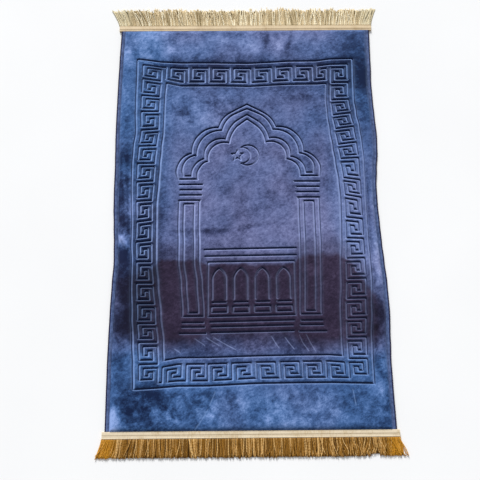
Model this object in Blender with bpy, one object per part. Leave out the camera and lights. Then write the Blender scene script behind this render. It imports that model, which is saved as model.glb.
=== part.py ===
"""A padded velvet prayer rug with pressed lines and a fringe on each short end.

The rug lies flat on z = 0, centred on the origin, with the point of its arch towards +Y.
It is drawn flat in millimetres first: x across, y along, z up. Then every point is pushed
sideways and lengthways to where the cloth lies, because the rug isn't quite straight.
"""

import math

import bmesh
import bpy
import numpy as np
from mathutils import Vector
from mathutils.geometry import delaunay_2d_cdt

# ---- Driving dimensions, in millimetres -------------------------------------------------
WIDTH = 700.0  # over the two side bindings
LENGTH = 1100.0  # of blue cloth between the two headings
THICK = 10.0  # of the padded cloth between its pressed lines
GAP = 0.3  # between pieces that touch

TAPE = 1.2  # thickness of a binding or heading
TAPE_TOP = 5.7  # top of a sewn edge above the floor
BINDING = 11.0  # width of a side binding, as seen from above
HEADING = 18.0  # width of a fringe's heading
OVERHANG = 6.0  # of a heading past each side of the cloth
LAP = 9.0  # of the cloth's end inside its heading
TAPE_ROUND = (1.4, 1.0)  # width and height of a tape's slanted outer shoulder
RINGS = (0.0, 3.0, 12.0)  # inwards from a tape, where the cloth's top starts to rise and levels off
RING_DROP = 1.2  # of the top at the middle ring

GROOVE_HALF, GROOVE_DEEP = 3.4, 3.4  # the pressed lines
FINE_HALF, FINE_DEEP = 2.4, 2.6  # the star's and crescent's lines

FRAME_OUT = (301.0, 448.0)  # half width and half length of the outer frame line
FRAME_IN = (225.8, 378.5)  # and of the inner one
KEY_STEP = (11.7, 10.2)  # across and along, from one line of the key border to the next
KEY_COLUMNS, KEY_ROWS = 49, 85  # steps over the whole border
KEY_MIDDLE = -2.0  # y of the key border's middle
KEY_UNITS_SIDE, KEY_UNITS_END = 17, 8

STRAND_LONG_FAR, STRAND_LONG_NEAR = 50.0, 43.0  # from the heading to the tip
STRAND_HIGH = (3.0, 2.2)  # at the root and at the tip
STRAND_WIDE = (4.3, 3.2)
STRAND_STEPS = 2  # straight stretches of a strand
STRAND_WAVER = (1.6, 13.0)  # sideways, and over what length of the heading
STRAND_UNEVEN = 0.06  # of a strand's length
FAN_FAR, FAN_NEAR = (-22.0, 15.0), (-14.0, 10.0)  # lean of each fringe's two outermost strands
FAN_FROM = 0.45  # of the half width: inside it the strands don't fan out
HEAD_SECTIONS, STRANDS_PER_SECTION = 14, 8

STATION = 50.0  # longest straight stretch of an edge or frame line
FIELD_STEP = 48.0  # grid of the open fields

# How the cloth lies. Each table has a row for every line across the rug: its y on the flat
# cloth, then a push at each of these places: the left edge, the outer and the inner side of the
# left border, the left column, the middle, the right column, the inner and the outer side of
# the right border, the right edge. Between rows a push passes smoothly, between places straight.
# STOPS_X and STOPS_Y give each place's x, and its number in the row.
STOPS_X = ((-338.0, 0), (-301.0, 1), (-226.0, 2), (-190.0, 3), (-128.0, 3), (-112.0, 4),
           (112.0, 4), (128.0, 5), (190.0, 5), (226.0, 6), (301.0, 7), (338.0, 8))
PUSH_X = (
    (560.0, -0.5, 0.0, 2.0, 2.0, 1.0, 0.0, -1.0, -1.0, 0.0),
    (440.0, -3.0, -0.5, 7.5, 9.0, 7.0, 4.0, -3.5, -5.0, -2.0),
    (385.0, -4.0, 0.0, 6.5, 9.5, 7.5, 4.0, -6.0, -6.5, -4.0),
    (330.0, -4.5, -0.5, 3.5, 1.5, 1.0, 0.0, -9.0, -7.5, -3.0),
    (280.0, -5.0, 0.0, 2.5, 1.5, 0.5, -1.0, -7.0, -4.0, -1.0),
    (225.0, -5.0, 2.5, 1.5, 2.5, 1.0, -0.5, -2.5, 2.5, 1.5),
    (175.0, -4.0, -2.5, -3.0, 3.0, 0.0, -0.5, 3.0, 6.5, 0.0),
    (125.0, -3.0, -4.5, -6.5, 4.0, -1.0, 1.0, 8.0, 9.0, -5.0),
    (75.0, -3.0, -4.0, -9.0, 5.5, 0.0, 5.0, 14.0, 8.5, -9.0),
    (20.0, -2.0, -2.0, -13.0, 2.5, 0.5, 2.5, 16.5, 7.5, -9.0),
    (-30.0, 0.5, 1.0, -12.5, 2.0, 1.5, 2.5, 15.5, 7.5, -7.0),
    (-80.0, 3.0, 1.0, -12.0, 3.5, 5.5, 3.0, 13.5, 7.5, -5.0),
    (-130.0, 4.5, 4.0, -11.0, 3.5, 7.0, 2.0, 10.0, 9.0, -2.0),
    (-185.0, 2.0, 4.0, -5.0, 10.5, 6.5, 0.5, 8.5, 10.0, 1.5),
    (-260.0, 0.0, 7.5, 3.5, 15.5, 6.5, -2.0, 3.0, 6.5, 3.0),
    (-335.0, -1.0, 12.0, 12.0, 15.5, 7.5, 2.5, 2.0, 1.5, 0.0),
    (-385.0, -1.5, 15.5, 14.5, 14.5, 8.5, 5.0, 2.5, 0.0, -2.0),
    (-440.0, -1.0, 17.5, 14.0, 14.0, 9.0, 5.0, 3.0, 0.0, -1.5),
    (-560.0, 0.0, 9.0, 8.0, 8.0, 5.5, 3.0, 1.0, 1.0, 0.0),
)
STOPS_Y = ((-338.0, 0), (-298.0, 1), (-240.0, 2), (-190.0, 3), (-110.0, 3), (0.0, 4),
           (110.0, 5), (190.0, 5), (240.0, 6), (298.0, 7), (338.0, 8))
PUSH_Y = (
    (560.0, 0.0, 0.0, 0.0, 0.0, 0.0, 0.0, 0.0, 0.0, 0.0),
    (440.0, 0.0, 9.5, -1.0, -4.0, -6.0, 0.5, 6.5, 7.0, 0.0),
    (385.0, 0.0, 17.5, 7.0, -6.5, -8.5, -2.5, 0.0, 0.0, 0.0),
    (330.0, 0.0, 16.0, 10.5, -0.5, 1.5, 0.5, -3.0, -1.0, 0.0),
    (280.0, 0.0, 16.5, 16.5, 0.5, 1.5, 1.0, 2.5, 9.0, 0.0),
    (225.0, 0.0, 10.5, 15.0, -1.5, 0.5, 2.0, 12.5, 19.5, 0.0),
    (175.0, 0.0, 15.0, 17.0, -2.0, 0.5, 2.0, 17.0, 23.5, 0.0),
    (125.0, 0.0, 16.0, 17.0, -4.0, 0.5, 4.0, 26.0, 28.0, 0.0),
    (75.0, 0.0, 13.0, 17.0, -2.5, 0.5, 4.0, 22.5, 13.0, 0.0),
    (20.0, 0.0, 9.0, 13.5, -2.0, 1.0, 4.0, 25.5, 14.5, 0.0),
    (-30.0, 0.0, 2.5, 9.5, -2.0, 0.5, 3.0, 14.0, 6.5, 0.0),
    (-80.0, 0.0, -1.0, 5.0, -1.0, 1.0, 2.5, 8.0, 5.0, 0.0),
    (-130.0, 0.0, -2.0, -1.0, -0.5, 0.5, 1.5, 4.5, 4.5, 0.0),
    (-185.0, 0.0, -6.5, -6.5, -2.0, -1.0, 0.5, 1.5, 2.0, 0.0),
    (-260.0, 0.0, -9.5, -9.0, -2.5, -0.5, 1.5, 1.0, 1.5, 0.0),
    (-335.0, 0.0, -4.0, -3.5, -2.0, 0.0, 2.0, 5.0, 5.0, 0.0),
    (-385.0, 0.0, -8.0, -6.5, 2.5, 5.5, 7.0, 3.0, 2.0, 0.0),
    (-440.0, 0.0, -4.0, -1.0, 3.0, 8.0, 9.0, 7.5, 6.0, 0.0),
    (-560.0, 0.0, 0.0, 0.0, 0.0, 0.0, 0.0, 0.0, 0.0, 0.0),
)
# The rise of the cloth: of its left margin, of its right margin and of the rest.
STOPS_RISE = ((-338.0, 2), (-298.0, 0), (-210.0, 2), (210.0, 2), (298.0, 1), (338.0, 2))
RISE = (
    (560.0, 0.0, 0.0, 0.0),
    (390.0, 0.5, 0.0, 0.0),
    (280.0, 1.0, 1.0, 0.0),
    (205.0, 1.0, 2.5, 0.0),
    (130.0, 1.5, 4.0, 0.0),
    (55.0, 2.0, 4.5, 0.0),
    (-20.0, 2.5, 4.0, 0.0),
    (-120.0, 3.0, 2.5, 0.0),
    (-240.0, 1.0, 2.0, 0.0),
    (-390.0, 0.0, 0.5, 0.0),
    (-560.0, 0.0, 0.0, 0.0),
)
SWAY, SWAY_ACROSS, SWAY_ALONG = 0.8, 83.0, 121.0  # broad unevenness of the top: height, spacings

# A raised fold runs over the right margin: its two ends, half width and height.
FOLD = ((306.0, -48.0), (336.0, -112.0))
FOLD_HALF, FOLD_HIGH = 9.0, 3.5

# ---- The arch: half of each of its four nested lines. First its apex, then the end of each
# stretch and how far the stretch bulges over its chord, as a share of the chord.
ARCH_LINES = {
    "outermost": (313.5, (47.0, 287.5, 0.01), (76.5, 246.0, 0.1), (150.0, 173.0, 0.235),
                  (186.5, 99.5, 0.24)),
    "outer": (300.0, (38.0, 282.5, 0.01), (67.5, 238.0, 0.1), (137.5, 167.0, 0.225),
              (172.5, 109.0, 0.27)),
    "inner": (282.5, (31.0, 262.5, 0.01), (57.5, 212.0, 0.09), (113.5, 157.5, 0.285),
              (152.0, 109.0, 0.2)),
    "innermost": (269.0, (27.0, 248.5, 0.01), (48.0, 200.0, 0.09), (103.0, 150.0, 0.3),
                  (136.0, 99.5, 0.23)),
}
ARCH_STEPS = (1, 4, 5, 4)  # straight pieces in each stretch

CAPITALS = ((120.5, 185.0, 83.5), (124.0, 183.0, 68.5), (124.0, 182.5, 53.5), (127.0, 184.0, 38.5))
SHAFT_OUT = (129.7, 182.7, -270.5)  # inner side, outer side, bottom of a column's outer line
SHAFT_IN = (143.0, 169.5, 28.5, -261.5)  # inner side, outer side, top, bottom of its inner line
BASES = ((129.7, 182.7, -286.5), (125.0, 183.0, -298.0), (118.0, 189.0, -314.0))

LINTELS = ((118.0, -98.2), (117.0, -116.5))  # half width, y
PANEL = (110.5, -132.0, -271.5)  # half width, top, bottom
STEPS = ((105.0, -285.5), (101.0, -298.0), (103.0, -312.5))
ARCADE_PITCH, ARCADE_HALF = 54.6, 17.3
ARCADE_APEX, ARCADE_SPRING, ARCADE_FOOT = -148.0, -172.0, -227.5
ARCADE_BULGE = 0.11
PEDESTAL_BAR = -235.5
PEDESTAL = (20.0, -246.5, -261.0)  # half width, top, bottom

MOON = (1.5, 163.5, 29.0)  # x, y and radius of the crescent's outer edge
MOON_BITE = (-14.0, 163.5, 23.0)  # and of its inner edge
STAR = (-26.0, 164.0, 17.0, 7.0)  # x, y, radius of the points, radius of the notches


# ---- Lines on the flat cloth --------------------------------------------------------------
def bulged(start, end, bulge, steps):
    """Points of an arc from start to just before end, bulging to the left of the way it goes."""
    a, b = np.array(start, float), np.array(end, float)
    chord = b - a
    outwards = np.array([-chord[1], chord[0]])
    radius = (1 + 4 * bulge * bulge) / (8 * bulge)  # in chords
    half = math.asin(0.5 / radius)
    points = []
    for i in range(steps):
        turn = half * (2 * i / steps - 1)
        along = 0.5 + radius * math.sin(turn)
        off = radius * math.cos(turn) - (radius - bulge)
        points.append(tuple(a + along * chord + off * outwards))
    return points


def half_arch(name):
    """The right half of one line of the arch, from its apex to its foot."""
    apex, *stretches = ARCH_LINES[name]
    start = (0.0, apex)
    points = []
    for (x, y, bulge), steps in zip(stretches, ARCH_STEPS):
        points += bulged(start, (x, y), bulge, steps)
        start = (x, y)
    return points + [start]


def mirrored(points):
    return [(-x, y) for x, y in points]


def arch_ring(outer, inner):
    """Two lines of the arch joined at their feet into one closed line."""
    out, into = half_arch(outer), half_arch(inner)
    return mirrored(out[::-1]) + out[1:] + into[::-1] + mirrored(into[1:])


def rectangle(x0, x1, y0, y1):
    return [(x0, y0), (x1, y0), (x1, y1), (x0, y1)]


def key_run(units):
    """One side of the key border, as steps (in from 0 to out at 4, along)."""
    unit = ((4, -1), (4, 3), (1, 3), (1, 1), (2, 1), (2, 2), (3, 2), (3, 0), (0, 0), (0, 4))
    return [(a, r + 5 * n) for n in range(units) for a, r in unit]


def key_line():
    """The whole key border as one closed line, clockwise from its top right corner."""
    last = KEY_ROWS
    side, end = key_run(KEY_UNITS_SIDE), key_run(KEY_UNITS_END)
    right = [(KEY_COLUMNS - 4 + a, r + 1) for a, r in side]
    bottom = [(KEY_COLUMNS - 5 - r, last - 4 + a) for a, r in end]
    left = [(KEY_COLUMNS - i, j) for i, j in right]
    top = [(i, last - j) for i, j in bottom]
    cells = right + bottom[1:] + [(5, last)] + left[::-1] + [(5, 0)] + top[:0:-1]
    wide, high = KEY_STEP
    return [((i - KEY_COLUMNS / 2) * wide, KEY_MIDDLE + (KEY_ROWS / 2 - j) * high) for i, j in cells]


def small_arch(x):
    """One pointed arch of the arcade, an open line from foot to foot."""
    right = bulged((x, ARCADE_APEX), (x + ARCADE_HALF, ARCADE_SPRING), ARCADE_BULGE, 3)
    right += [(x + ARCADE_HALF, ARCADE_SPRING), (x + ARCADE_HALF, ARCADE_FOOT)]
    left = [(2 * x - px, py) for px, py in right[:0:-1]]
    return left + right


def crescent():
    """A closed line: the outer circle from tip to tip, then back along the inner one."""
    (cx, cy, big), (bx, _, small) = MOON, MOON_BITE
    apart = cx - bx
    tip_x = bx + (small**2 - big**2 + apart**2) / (2 * apart)
    wide = math.acos((tip_x - cx) / big)
    narrow = math.acos((tip_x - bx) / small)
    outer = [(cx + big * math.cos(t), cy + big * math.sin(t)) for t in np.linspace(-wide, wide, 15)]
    turns = np.linspace(narrow, -narrow, 11)[1:-1]
    return outer + [(bx + small * math.cos(t), cy + small * math.sin(t)) for t in turns]


def star():
    cx, cy, tip, notch = STAR
    points = []
    for i in range(10):
        turn = math.pi / 2 + i * math.pi / 5
        reach = notch if i % 2 else tip
        points.append((cx + reach * math.cos(turn), cy + reach * math.sin(turn)))
    return points


def pressed_lines():
    """Every pressed line: its points, whether it closes, its half width and its depth."""
    lines = []

    def press(points, closed=False, half=GROOVE_HALF, deep=GROOVE_DEEP):
        lines.append((np.array(points, float), closed, half, deep))

    for half_x, half_y in (FRAME_OUT, FRAME_IN):
        press(rectangle(-half_x, half_x, -half_y, half_y), True)
    press(key_line(), True)
    press(arch_ring("outermost", "innermost"), True)
    press(arch_ring("outer", "inner"), True)
    for side in (-1, 1):
        for near, far, y in CAPITALS + BASES:
            press([(side * near, y), (side * far, y)])
        near, far, bottom = SHAFT_OUT
        top = CAPITALS[-1][2]
        press([(side * near, top), (side * near, bottom), (side * far, bottom), (side * far, top)])
        near, far, top, bottom = SHAFT_IN
        press(rectangle(side * near, side * far, bottom, top), True)
    for half_x, y in LINTELS + STEPS:
        press([(-half_x, y), (half_x, y)])
    half_x, top, bottom = PANEL
    press(rectangle(-half_x, half_x, bottom, top), True)
    for i in range(4):
        x = (i - 1.5) * ARCADE_PITCH
        press(small_arch(x))
        press([(x - ARCADE_HALF, PEDESTAL_BAR), (x + ARCADE_HALF, PEDESTAL_BAR)])
        half_x, top, bottom = PEDESTAL
        press(rectangle(x - half_x, x + half_x, bottom, top), True)
    press(crescent(), True, FINE_HALF, FINE_DEEP)
    press(star(), True, FINE_HALF, FINE_DEEP)
    return lines


def subdivided(points, closed, longest=STATION):
    """The same line with no stretch longer than this, so that it can follow the cloth."""
    ends = np.vstack([points, points[:1]]) if closed else points
    out = []
    for a, b in zip(ends, ends[1:]):
        pieces = max(1, math.ceil(float(np.hypot(*(b - a))) / longest - 1e-6))
        out += [a + (b - a) * i / pieces for i in range(pieces)]
    return np.array(out if closed else out + [ends[-1]])


# ---- How the cloth lies -------------------------------------------------------------------
def pushed(table, stops, x, y):
    """What a table says at points of the flat cloth."""
    rows = np.array(table)[::-1]
    at = np.clip(y, rows[0, 0], rows[-1, 0])
    i = np.clip(np.searchsorted(rows[:, 0], at) - 1, 0, len(rows) - 2)
    t = (at - rows[i, 0]) / (rows[i + 1, 0] - rows[i, 0])
    t = (t * t * (3 - 2 * t))[:, None]
    values = (rows[i] * (1 - t) + rows[i + 1] * t)[:, 1:]
    out = values[:, stops[0][1]].copy()
    for (x0, a), (x1, b) in zip(stops, stops[1:]):
        out += (values[:, b] - values[:, a]) * np.clip((x - x0) / (x1 - x0), 0, 1)
    return out


def lying(x, y):
    """Where points of the flat cloth come to lie: x, y and how much their top rises."""
    x, y = np.asarray(x, float), np.asarray(y, float)
    push_x = pushed(PUSH_X, STOPS_X, x, y)
    push_y = pushed(PUSH_Y, STOPS_Y, x, y)
    return x + push_x, y + push_y, pushed(RISE, STOPS_RISE, x, y)


def segments(lines):
    """All stretches of the lines: starts, ends, half widths and depths."""
    a, b, half, deep = [], [], [], []
    for points, closed, line_half, line_deep in lines:
        ends = np.vstack([points, points[:1]]) if closed else points
        a.append(ends[:-1])
        b.append(ends[1:])
        half += [line_half] * (len(ends) - 1)
        deep += [line_deep] * (len(ends) - 1)
    return np.vstack(a), np.vstack(b), np.array(half), np.array(deep)


def distances(p, a, b):
    """From each point to each stretch."""
    along = b - a
    long2 = (along**2).sum(1)
    t = np.clip(((p[:, None] - a) * along).sum(2) / long2, 0, 1)
    return np.linalg.norm(p[:, None] - (a + t[..., None] * along), axis=2)


def sewn_in(p):
    """How far points are inside the tapes' inner edges, negative under a tape."""
    inside_x = WIDTH / 2 - BINDING - GAP - np.abs(p[:, 0])
    inside_y = LENGTH / 2 - GAP - np.abs(p[:, 1])
    return np.minimum(inside_x, inside_y)


def top_height(p, lines):
    """Height of the cloth's top at points of the flat cloth."""
    a, b, half, deep = segments(lines)
    inside = sewn_in(p)
    under_tape = TAPE_TOP - TAPE - GAP
    height = np.interp(inside, RINGS, (under_tape, THICK - RING_DROP, THICK))
    share = np.clip(inside / RINGS[-1], 0, 1)
    sway = np.sin(p[:, 0] / SWAY_ACROSS + 0.6) * np.sin(p[:, 1] / SWAY_ALONG + 1.1)
    rise = lying(p[:, 0], p[:, 1])[2]
    press = np.max(np.clip(1 - distances(p, a, b) / half, 0, 1) * deep, axis=1)
    start, end = np.array(FOLD[0]), np.array(FOLD[1])
    fold = np.clip(1 - distances(p, start[None], end[None])[:, 0] / FOLD_HALF, 0, 1)
    return height + share * (SWAY * sway + rise + FOLD_HIGH * fold) - press


# ---- The cloth's mesh ---------------------------------------------------------------------
def offset_line(points, closed, by):
    """A line beside this one, mitred at its corners. An open line is lengthened by the same."""
    count = len(points)
    out = []
    for i in range(count):
        before = points[i - 1] if closed or i else None
        after = points[(i + 1) % count] if closed or i < count - 1 else None
        ways = [w / np.hypot(*w) for w in (
            points[i] - before if before is not None else None,
            after - points[i] if after is not None else None,
        ) if w is not None]
        left = sum(np.array([-w[1], w[0]]) for w in ways)
        left = left / np.hypot(*left)
        stretch = 1 / max(0.5, float(left @ np.array([-ways[0][1], ways[0][0]])))
        tip = np.zeros(2)
        if len(ways) == 1:
            tip = ways[0] * abs(by) * (1 if after is None else -1)
        out.append(points[i] + left * by * stretch + tip)
    return np.array(out)


def ring_at(inside):
    """A rectangle this far inside the tapes' inner edges, with a point at each station."""
    x = WIDTH / 2 - BINDING - GAP - inside
    y = LENGTH / 2 - GAP - inside
    return subdivided(np.array(rectangle(-x, x, -y, y)), True)


def outline():
    """The cloth's cut edge, inside its tapes: a ring's points moved out, three at a corner."""
    ring = ring_at(0.0)
    wide, long = ring.max(axis=0)
    out_x, out_y = WIDTH / 2 - TAPE - GAP, LENGTH / 2 + LAP
    points = []
    for x, y in ring:
        far_x, far_y = math.copysign(out_x, x), math.copysign(out_y, y)
        if abs(x) > wide - GAP:
            points.append((far_x, y))
        if abs(y) > long - GAP:
            points.append((x, far_y))
        if abs(x) > wide - GAP and abs(y) > long - GAP:
            points.append((far_x, far_y))
    return np.array(sorted(points, key=lambda p: math.atan2(p[1], p[0])))


class Plan:
    """Points and lines for a flat triangulation, in which two equal points are one."""

    def __init__(self):
        self.points, self.edges, self.known = [], [], {}

    def point(self, p):
        key = (round(float(p[0]), 3), round(float(p[1]), 3))
        if key not in self.known:
            self.known[key] = len(self.points)
            self.points.append(key)
        return self.known[key]

    def line(self, points, closed):
        ids = [self.point(p) for p in points]
        pairs = list(zip(ids, ids[1:])) + ([(ids[-1], ids[0])] if closed else [])
        self.edges += [pair for pair in pairs if pair[0] != pair[1]]

    def triangles(self):
        made = delaunay_2d_cdt([Vector(p) for p in self.points], self.edges, [], 0, 1e-4)
        return np.array([tuple(v) for v in made[0]]), [tuple(f) for f in made[2]]


def field_points(lines):
    """A grid over the open fields, clear of every line and edge."""
    a, b, _, _ = segments(lines)
    xs = np.arange(-WIDTH / 2, WIDTH / 2, FIELD_STEP) + FIELD_STEP / 3
    ys = np.arange(-LENGTH / 2, LENGTH / 2, FIELD_STEP) + FIELD_STEP / 3
    grid = np.array([(x, y) for x in xs for y in ys])
    clear = distances(grid, a, b).min(axis=1) > FIELD_STEP / 3
    return grid[clear & (sewn_in(grid) > RINGS[-1] + FIELD_STEP / 6)]


def cloth_mesh():
    """The padded cloth: its pressed top, its cut edge and its flat underside."""
    lines = [
        (subdivided(points, closed), closed, half, deep)
        for points, closed, half, deep in pressed_lines()
    ]
    top = Plan()
    top.line(outline(), True)
    for inside in RINGS:
        top.line(ring_at(inside), True)
    for points, closed, half, _ in lines:
        top.line(points, closed)
        left, right = offset_line(points, closed, half), offset_line(points, closed, -half)
        if closed:
            top.line(left, True)
            top.line(right, True)
        else:
            top.line(np.vstack([left, right[::-1]]), True)
    fold = np.array(FOLD)
    across = offset_line(fold, False, FOLD_HALF), offset_line(fold, False, -FOLD_HALF)
    top.line(fold, False)
    top.line(np.vstack([across[0], across[1][::-1]]), True)
    for p in field_points(lines):
        top.point(p)

    below = Plan()
    below.line(outline(), True)
    below.line(ring_at(0.0), True)
    below.line(ring_at(RINGS[1]), True)

    flat_top, top_faces = top.triangles()
    flat_below, below_faces = below.triangles()
    rest = np.where(sewn_in(flat_below) > RINGS[1] / 2, 0.0, TAPE + GAP)
    x, y, _ = lying(flat_top[:, 0], flat_top[:, 1])
    upper = np.column_stack([x, y, top_height(flat_top, lines)])
    x, y, _ = lying(flat_below[:, 0], flat_below[:, 1])
    lower = np.column_stack([x, y, rest])

    faces = [tuple(f) for f in top_faces]
    shift = len(upper)
    faces += [tuple(shift + i for i in reversed(f)) for f in below_faces]
    edge = outline()
    above = [nearest(flat_top, p) for p in edge]
    under = [shift + nearest(flat_below, p) for p in edge]
    for i in range(len(edge)):
        j = (i + 1) % len(edge)
        faces.append((above[i], under[i], under[j], above[j]))
    return np.vstack([upper, lower]), faces


def nearest(points, p):
    return int(np.argmin(((points - p) ** 2).sum(axis=1)))


# ---- Tapes and fringes --------------------------------------------------------------------
def folded_tape(outer, inner, lap_end):
    """Section of a tape folded over an edge, as (distance from the middle, height)."""
    back, drop = TAPE_ROUND
    return [
        (outer, 0.0), (outer, TAPE_TOP - drop), (outer - back, TAPE_TOP), (inner, TAPE_TOP),
        (inner, TAPE_TOP - TAPE), (lap_end, TAPE_TOP - TAPE), (lap_end, TAPE), (inner, TAPE),
        (inner, 0.0),
    ]


def swept(section, stations, place):
    """A closed solid: the section at each station, and its two ends."""
    count = len(section)
    points = [place(station, u, z) for station in stations for u, z in section]
    faces = []
    for s in range(len(stations) - 1):
        for i in range(count):
            j = (i + 1) % count
            faces.append((s * count + i, s * count + j, (s + 1) * count + j, (s + 1) * count + i))
    faces.append(tuple(range(count))[::-1])
    faces.append(tuple((len(stations) - 1) * count + i for i in range(count)))
    return np.array(points), faces


def binding_mesh(side):
    """The tape along one long side. side is -1 or 1."""
    section = folded_tape(WIDTH / 2, WIDTH / 2 - BINDING, WIDTH / 2 - TAPE)
    ring = ring_at(0.0)
    ys = sorted(float(y) for x, y in ring if x > ring[:, 0].max() - GAP)

    def place(y, u, z):
        x, laid_y, _ = lying([side * u], [y])
        return float(x[0]), float(laid_y[0]), z

    return swept(section, ys, place)


def lean(x, far_end):
    """How far a strand's tip leans sideways: the outer ones fan out."""
    fan_left, fan_right = FAN_FAR if far_end else FAN_NEAR
    share = abs(x) / (WIDTH / 2 + OVERHANG)
    out = max(0.0, (share - FAN_FROM) / (1 - FAN_FROM)) ** 2
    sway, over = STRAND_WAVER
    return (fan_left if x < 0 else fan_right) * out + sway * math.sin(x / over)


def fringe_mesh(far_end):
    """A heading with its row of strands, each grown out of the heading's outer face."""
    reach = WIDTH / 2 + OVERHANG
    outer = LENGTH / 2 + HEADING
    count = HEAD_SECTIONS * STRANDS_PER_SECTION
    pitch = 2 * reach / count
    spare = (pitch - STRAND_WIDE[0]) / 2
    stations = [-reach]
    for i in range(count):
        start = -reach + i * pitch
        stations += [start + spare, start + pitch - spare]
    stations.append(reach)
    section = folded_tape(outer, LENGTH / 2, LENGTH / 2 + LAP + GAP)
    section.insert(1, (outer, STRAND_HIGH[0]))
    away = 1 if far_end else -1
    strand_long = STRAND_LONG_FAR if far_end else STRAND_LONG_NEAR
    points, faces = swept(section, stations, lambda x, u, z: (x, away * u, z))
    points = [tuple(p) for p in points]
    size = len(section)
    roots = set()
    for i in range(count):
        a, b = (2 * i + 1) * size, (2 * i + 2) * size
        ring = [a, a + 1, b + 1, b]
        roots.add(frozenset(ring))
        x0 = (stations[2 * i + 1] + stations[2 * i + 2]) / 2
        long = strand_long * (1 + STRAND_UNEVEN * math.sin(i * 2.3) * math.sin(i * 0.61 + 1))
        for step in range(1, STRAND_STEPS + 1):
            t = step / STRAND_STEPS
            middle = x0 + lean(x0, far_end) * t**1.4
            half = (STRAND_WIDE[0] * (1 - t) + STRAND_WIDE[1] * t) / 2
            high = STRAND_HIGH[0] * (1 - t) + STRAND_HIGH[1] * t
            y = away * (outer + long * t)
            new = range(len(points), len(points) + 4)
            points += [(middle - half, y, 0.0), (middle - half, y, high),
                       (middle + half, y, high), (middle + half, y, 0.0)]
            for k in range(4):
                m = (k + 1) % 4
                faces.append((ring[k], ring[m], new[m], new[k]))
            ring = list(new)
        faces.append(tuple(ring))
    faces = [f for f in faces if frozenset(f) not in roots]
    return np.array(points), faces


# ---- Objects ------------------------------------------------------------------------------
def material(name, colour, roughness, sheen):
    made = bpy.data.materials.new(name)
    made.use_nodes = True
    made.diffuse_color = (*colour, 1.0)
    shader = made.node_tree.nodes["Principled BSDF"]
    shader.inputs["Base Color"].default_value = (*colour, 1.0)
    shader.inputs["Roughness"].default_value = roughness
    shader.inputs["Metallic"].default_value = 0.0
    shader.inputs["Sheen Weight"].default_value = sheen
    return made


def add(name, mesh_parts, finish):
    """One named object from points in millimetres, with its faces turned outwards."""
    points, faces = mesh_parts
    mesh = bpy.data.meshes.new(name)
    mesh.from_pydata([tuple(0.001 * c for c in p) for p in points], [], faces)
    mesh.materials.append(finish)
    obj = bpy.data.objects.new(name, mesh)
    bpy.context.scene.collection.objects.link(obj)
    turn_outwards(mesh)
    mesh.shade_smooth()
    mesh.set_sharp_from_angle(angle=math.radians(25))
    return obj


def turn_outwards(mesh):
    shape = bmesh.new()
    shape.from_mesh(mesh)
    bmesh.ops.recalc_face_normals(shape, faces=shape.faces)
    if shape.calc_volume(signed=True) < 0:
        bmesh.ops.reverse_faces(shape, faces=shape.faces)
    shape.to_mesh(mesh)
    shape.free()


def main():
    for obj in list(bpy.data.objects):
        bpy.data.objects.remove(obj, do_unlink=True)
    velvet = material("blue_velvet", (0.055, 0.085, 0.27), 0.85, 0.6)
    tape = material("blue_tape", (0.035, 0.055, 0.18), 0.8, 0.3)
    yarn = material("gold_yarn", (0.62, 0.45, 0.2), 0.7, 0.2)
    add("rug_body", cloth_mesh(), velvet)
    add("binding_left", binding_mesh(-1), tape)
    add("binding_right", binding_mesh(1), tape)
    add("fringe_top", fringe_mesh(True), yarn)
    add("fringe_bottom", fringe_mesh(False), yarn)


main()
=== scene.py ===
"""The looks of a padded velvet prayer rug: pressed cloth, bound edges and two fringes.

The cloth is drawn flat in millimetres first: x across, y along, z up, with the point of the
arch towards +Y. Then every point is pushed to where the cloth lies on the floor.
"""

import math

import bmesh
import bpy
import numpy as np
from mathutils import Matrix, Vector, kdtree, noise
from mathutils.geometry import delaunay_2d_cdt

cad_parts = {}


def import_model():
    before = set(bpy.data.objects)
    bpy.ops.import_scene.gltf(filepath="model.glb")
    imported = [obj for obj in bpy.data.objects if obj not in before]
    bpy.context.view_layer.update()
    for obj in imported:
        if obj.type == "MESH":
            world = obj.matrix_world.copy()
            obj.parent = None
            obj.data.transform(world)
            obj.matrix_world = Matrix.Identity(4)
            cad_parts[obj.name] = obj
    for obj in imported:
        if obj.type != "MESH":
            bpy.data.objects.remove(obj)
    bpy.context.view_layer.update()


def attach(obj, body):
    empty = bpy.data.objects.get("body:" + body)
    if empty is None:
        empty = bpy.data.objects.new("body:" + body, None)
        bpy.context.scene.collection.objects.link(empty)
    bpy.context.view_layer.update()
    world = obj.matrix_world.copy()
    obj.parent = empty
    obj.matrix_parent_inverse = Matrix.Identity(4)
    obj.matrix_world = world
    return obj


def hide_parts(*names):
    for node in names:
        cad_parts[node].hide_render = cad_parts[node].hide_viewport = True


MM = 0.001  # the sizes below are in millimetres

# ---- The rug's own sizes, the same as those its solids were built from --------------------
WIDTH = 700  # over the two side bindings
LENGTH = 1100  # of blue cloth between the two headings
THICK = 10  # of the padded cloth between its pressed lines
GAP = 0.3  # between pieces that touch

TAPE = 1.2  # thickness of a binding or heading
TAPE_TOP = 5.7  # top of a sewn edge above the floor
BINDING = 11  # width of a side binding, as seen from above
OVERSEWN = 4.6  # width of the dark stitching over a binding's outer edge
HEADING = 18  # width of a fringe's heading
OVERHANG = 6  # of a heading past each side of the cloth
LAP = 9  # of the cloth's end inside its heading

GROOVE_HALF, GROOVE_DEEP = 4.4, 4  # the pressed lines, with their rounded shoulders
# How light the bottoms of pressed lines are painted: across the rug below 0, a painted shade, and
# along it a painted highlight; and how light scratches are, where the pile is parted. Below 0 they
# are dark.
PAINTED_SHADE_ACROSS, PAINTED_SHEEN_ALONG, PARTED = -0.50, 0.82, 0.55
BOTTOM_LIGHT_WIDE, WALL_WIDE = 1.1, 1.2  # how far the bottoms' painted light and shade and the walls reach, in half widths
FINE_HALF, FINE_DEEP = 3.4, 3.6  # the star's and crescent's lines

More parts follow.
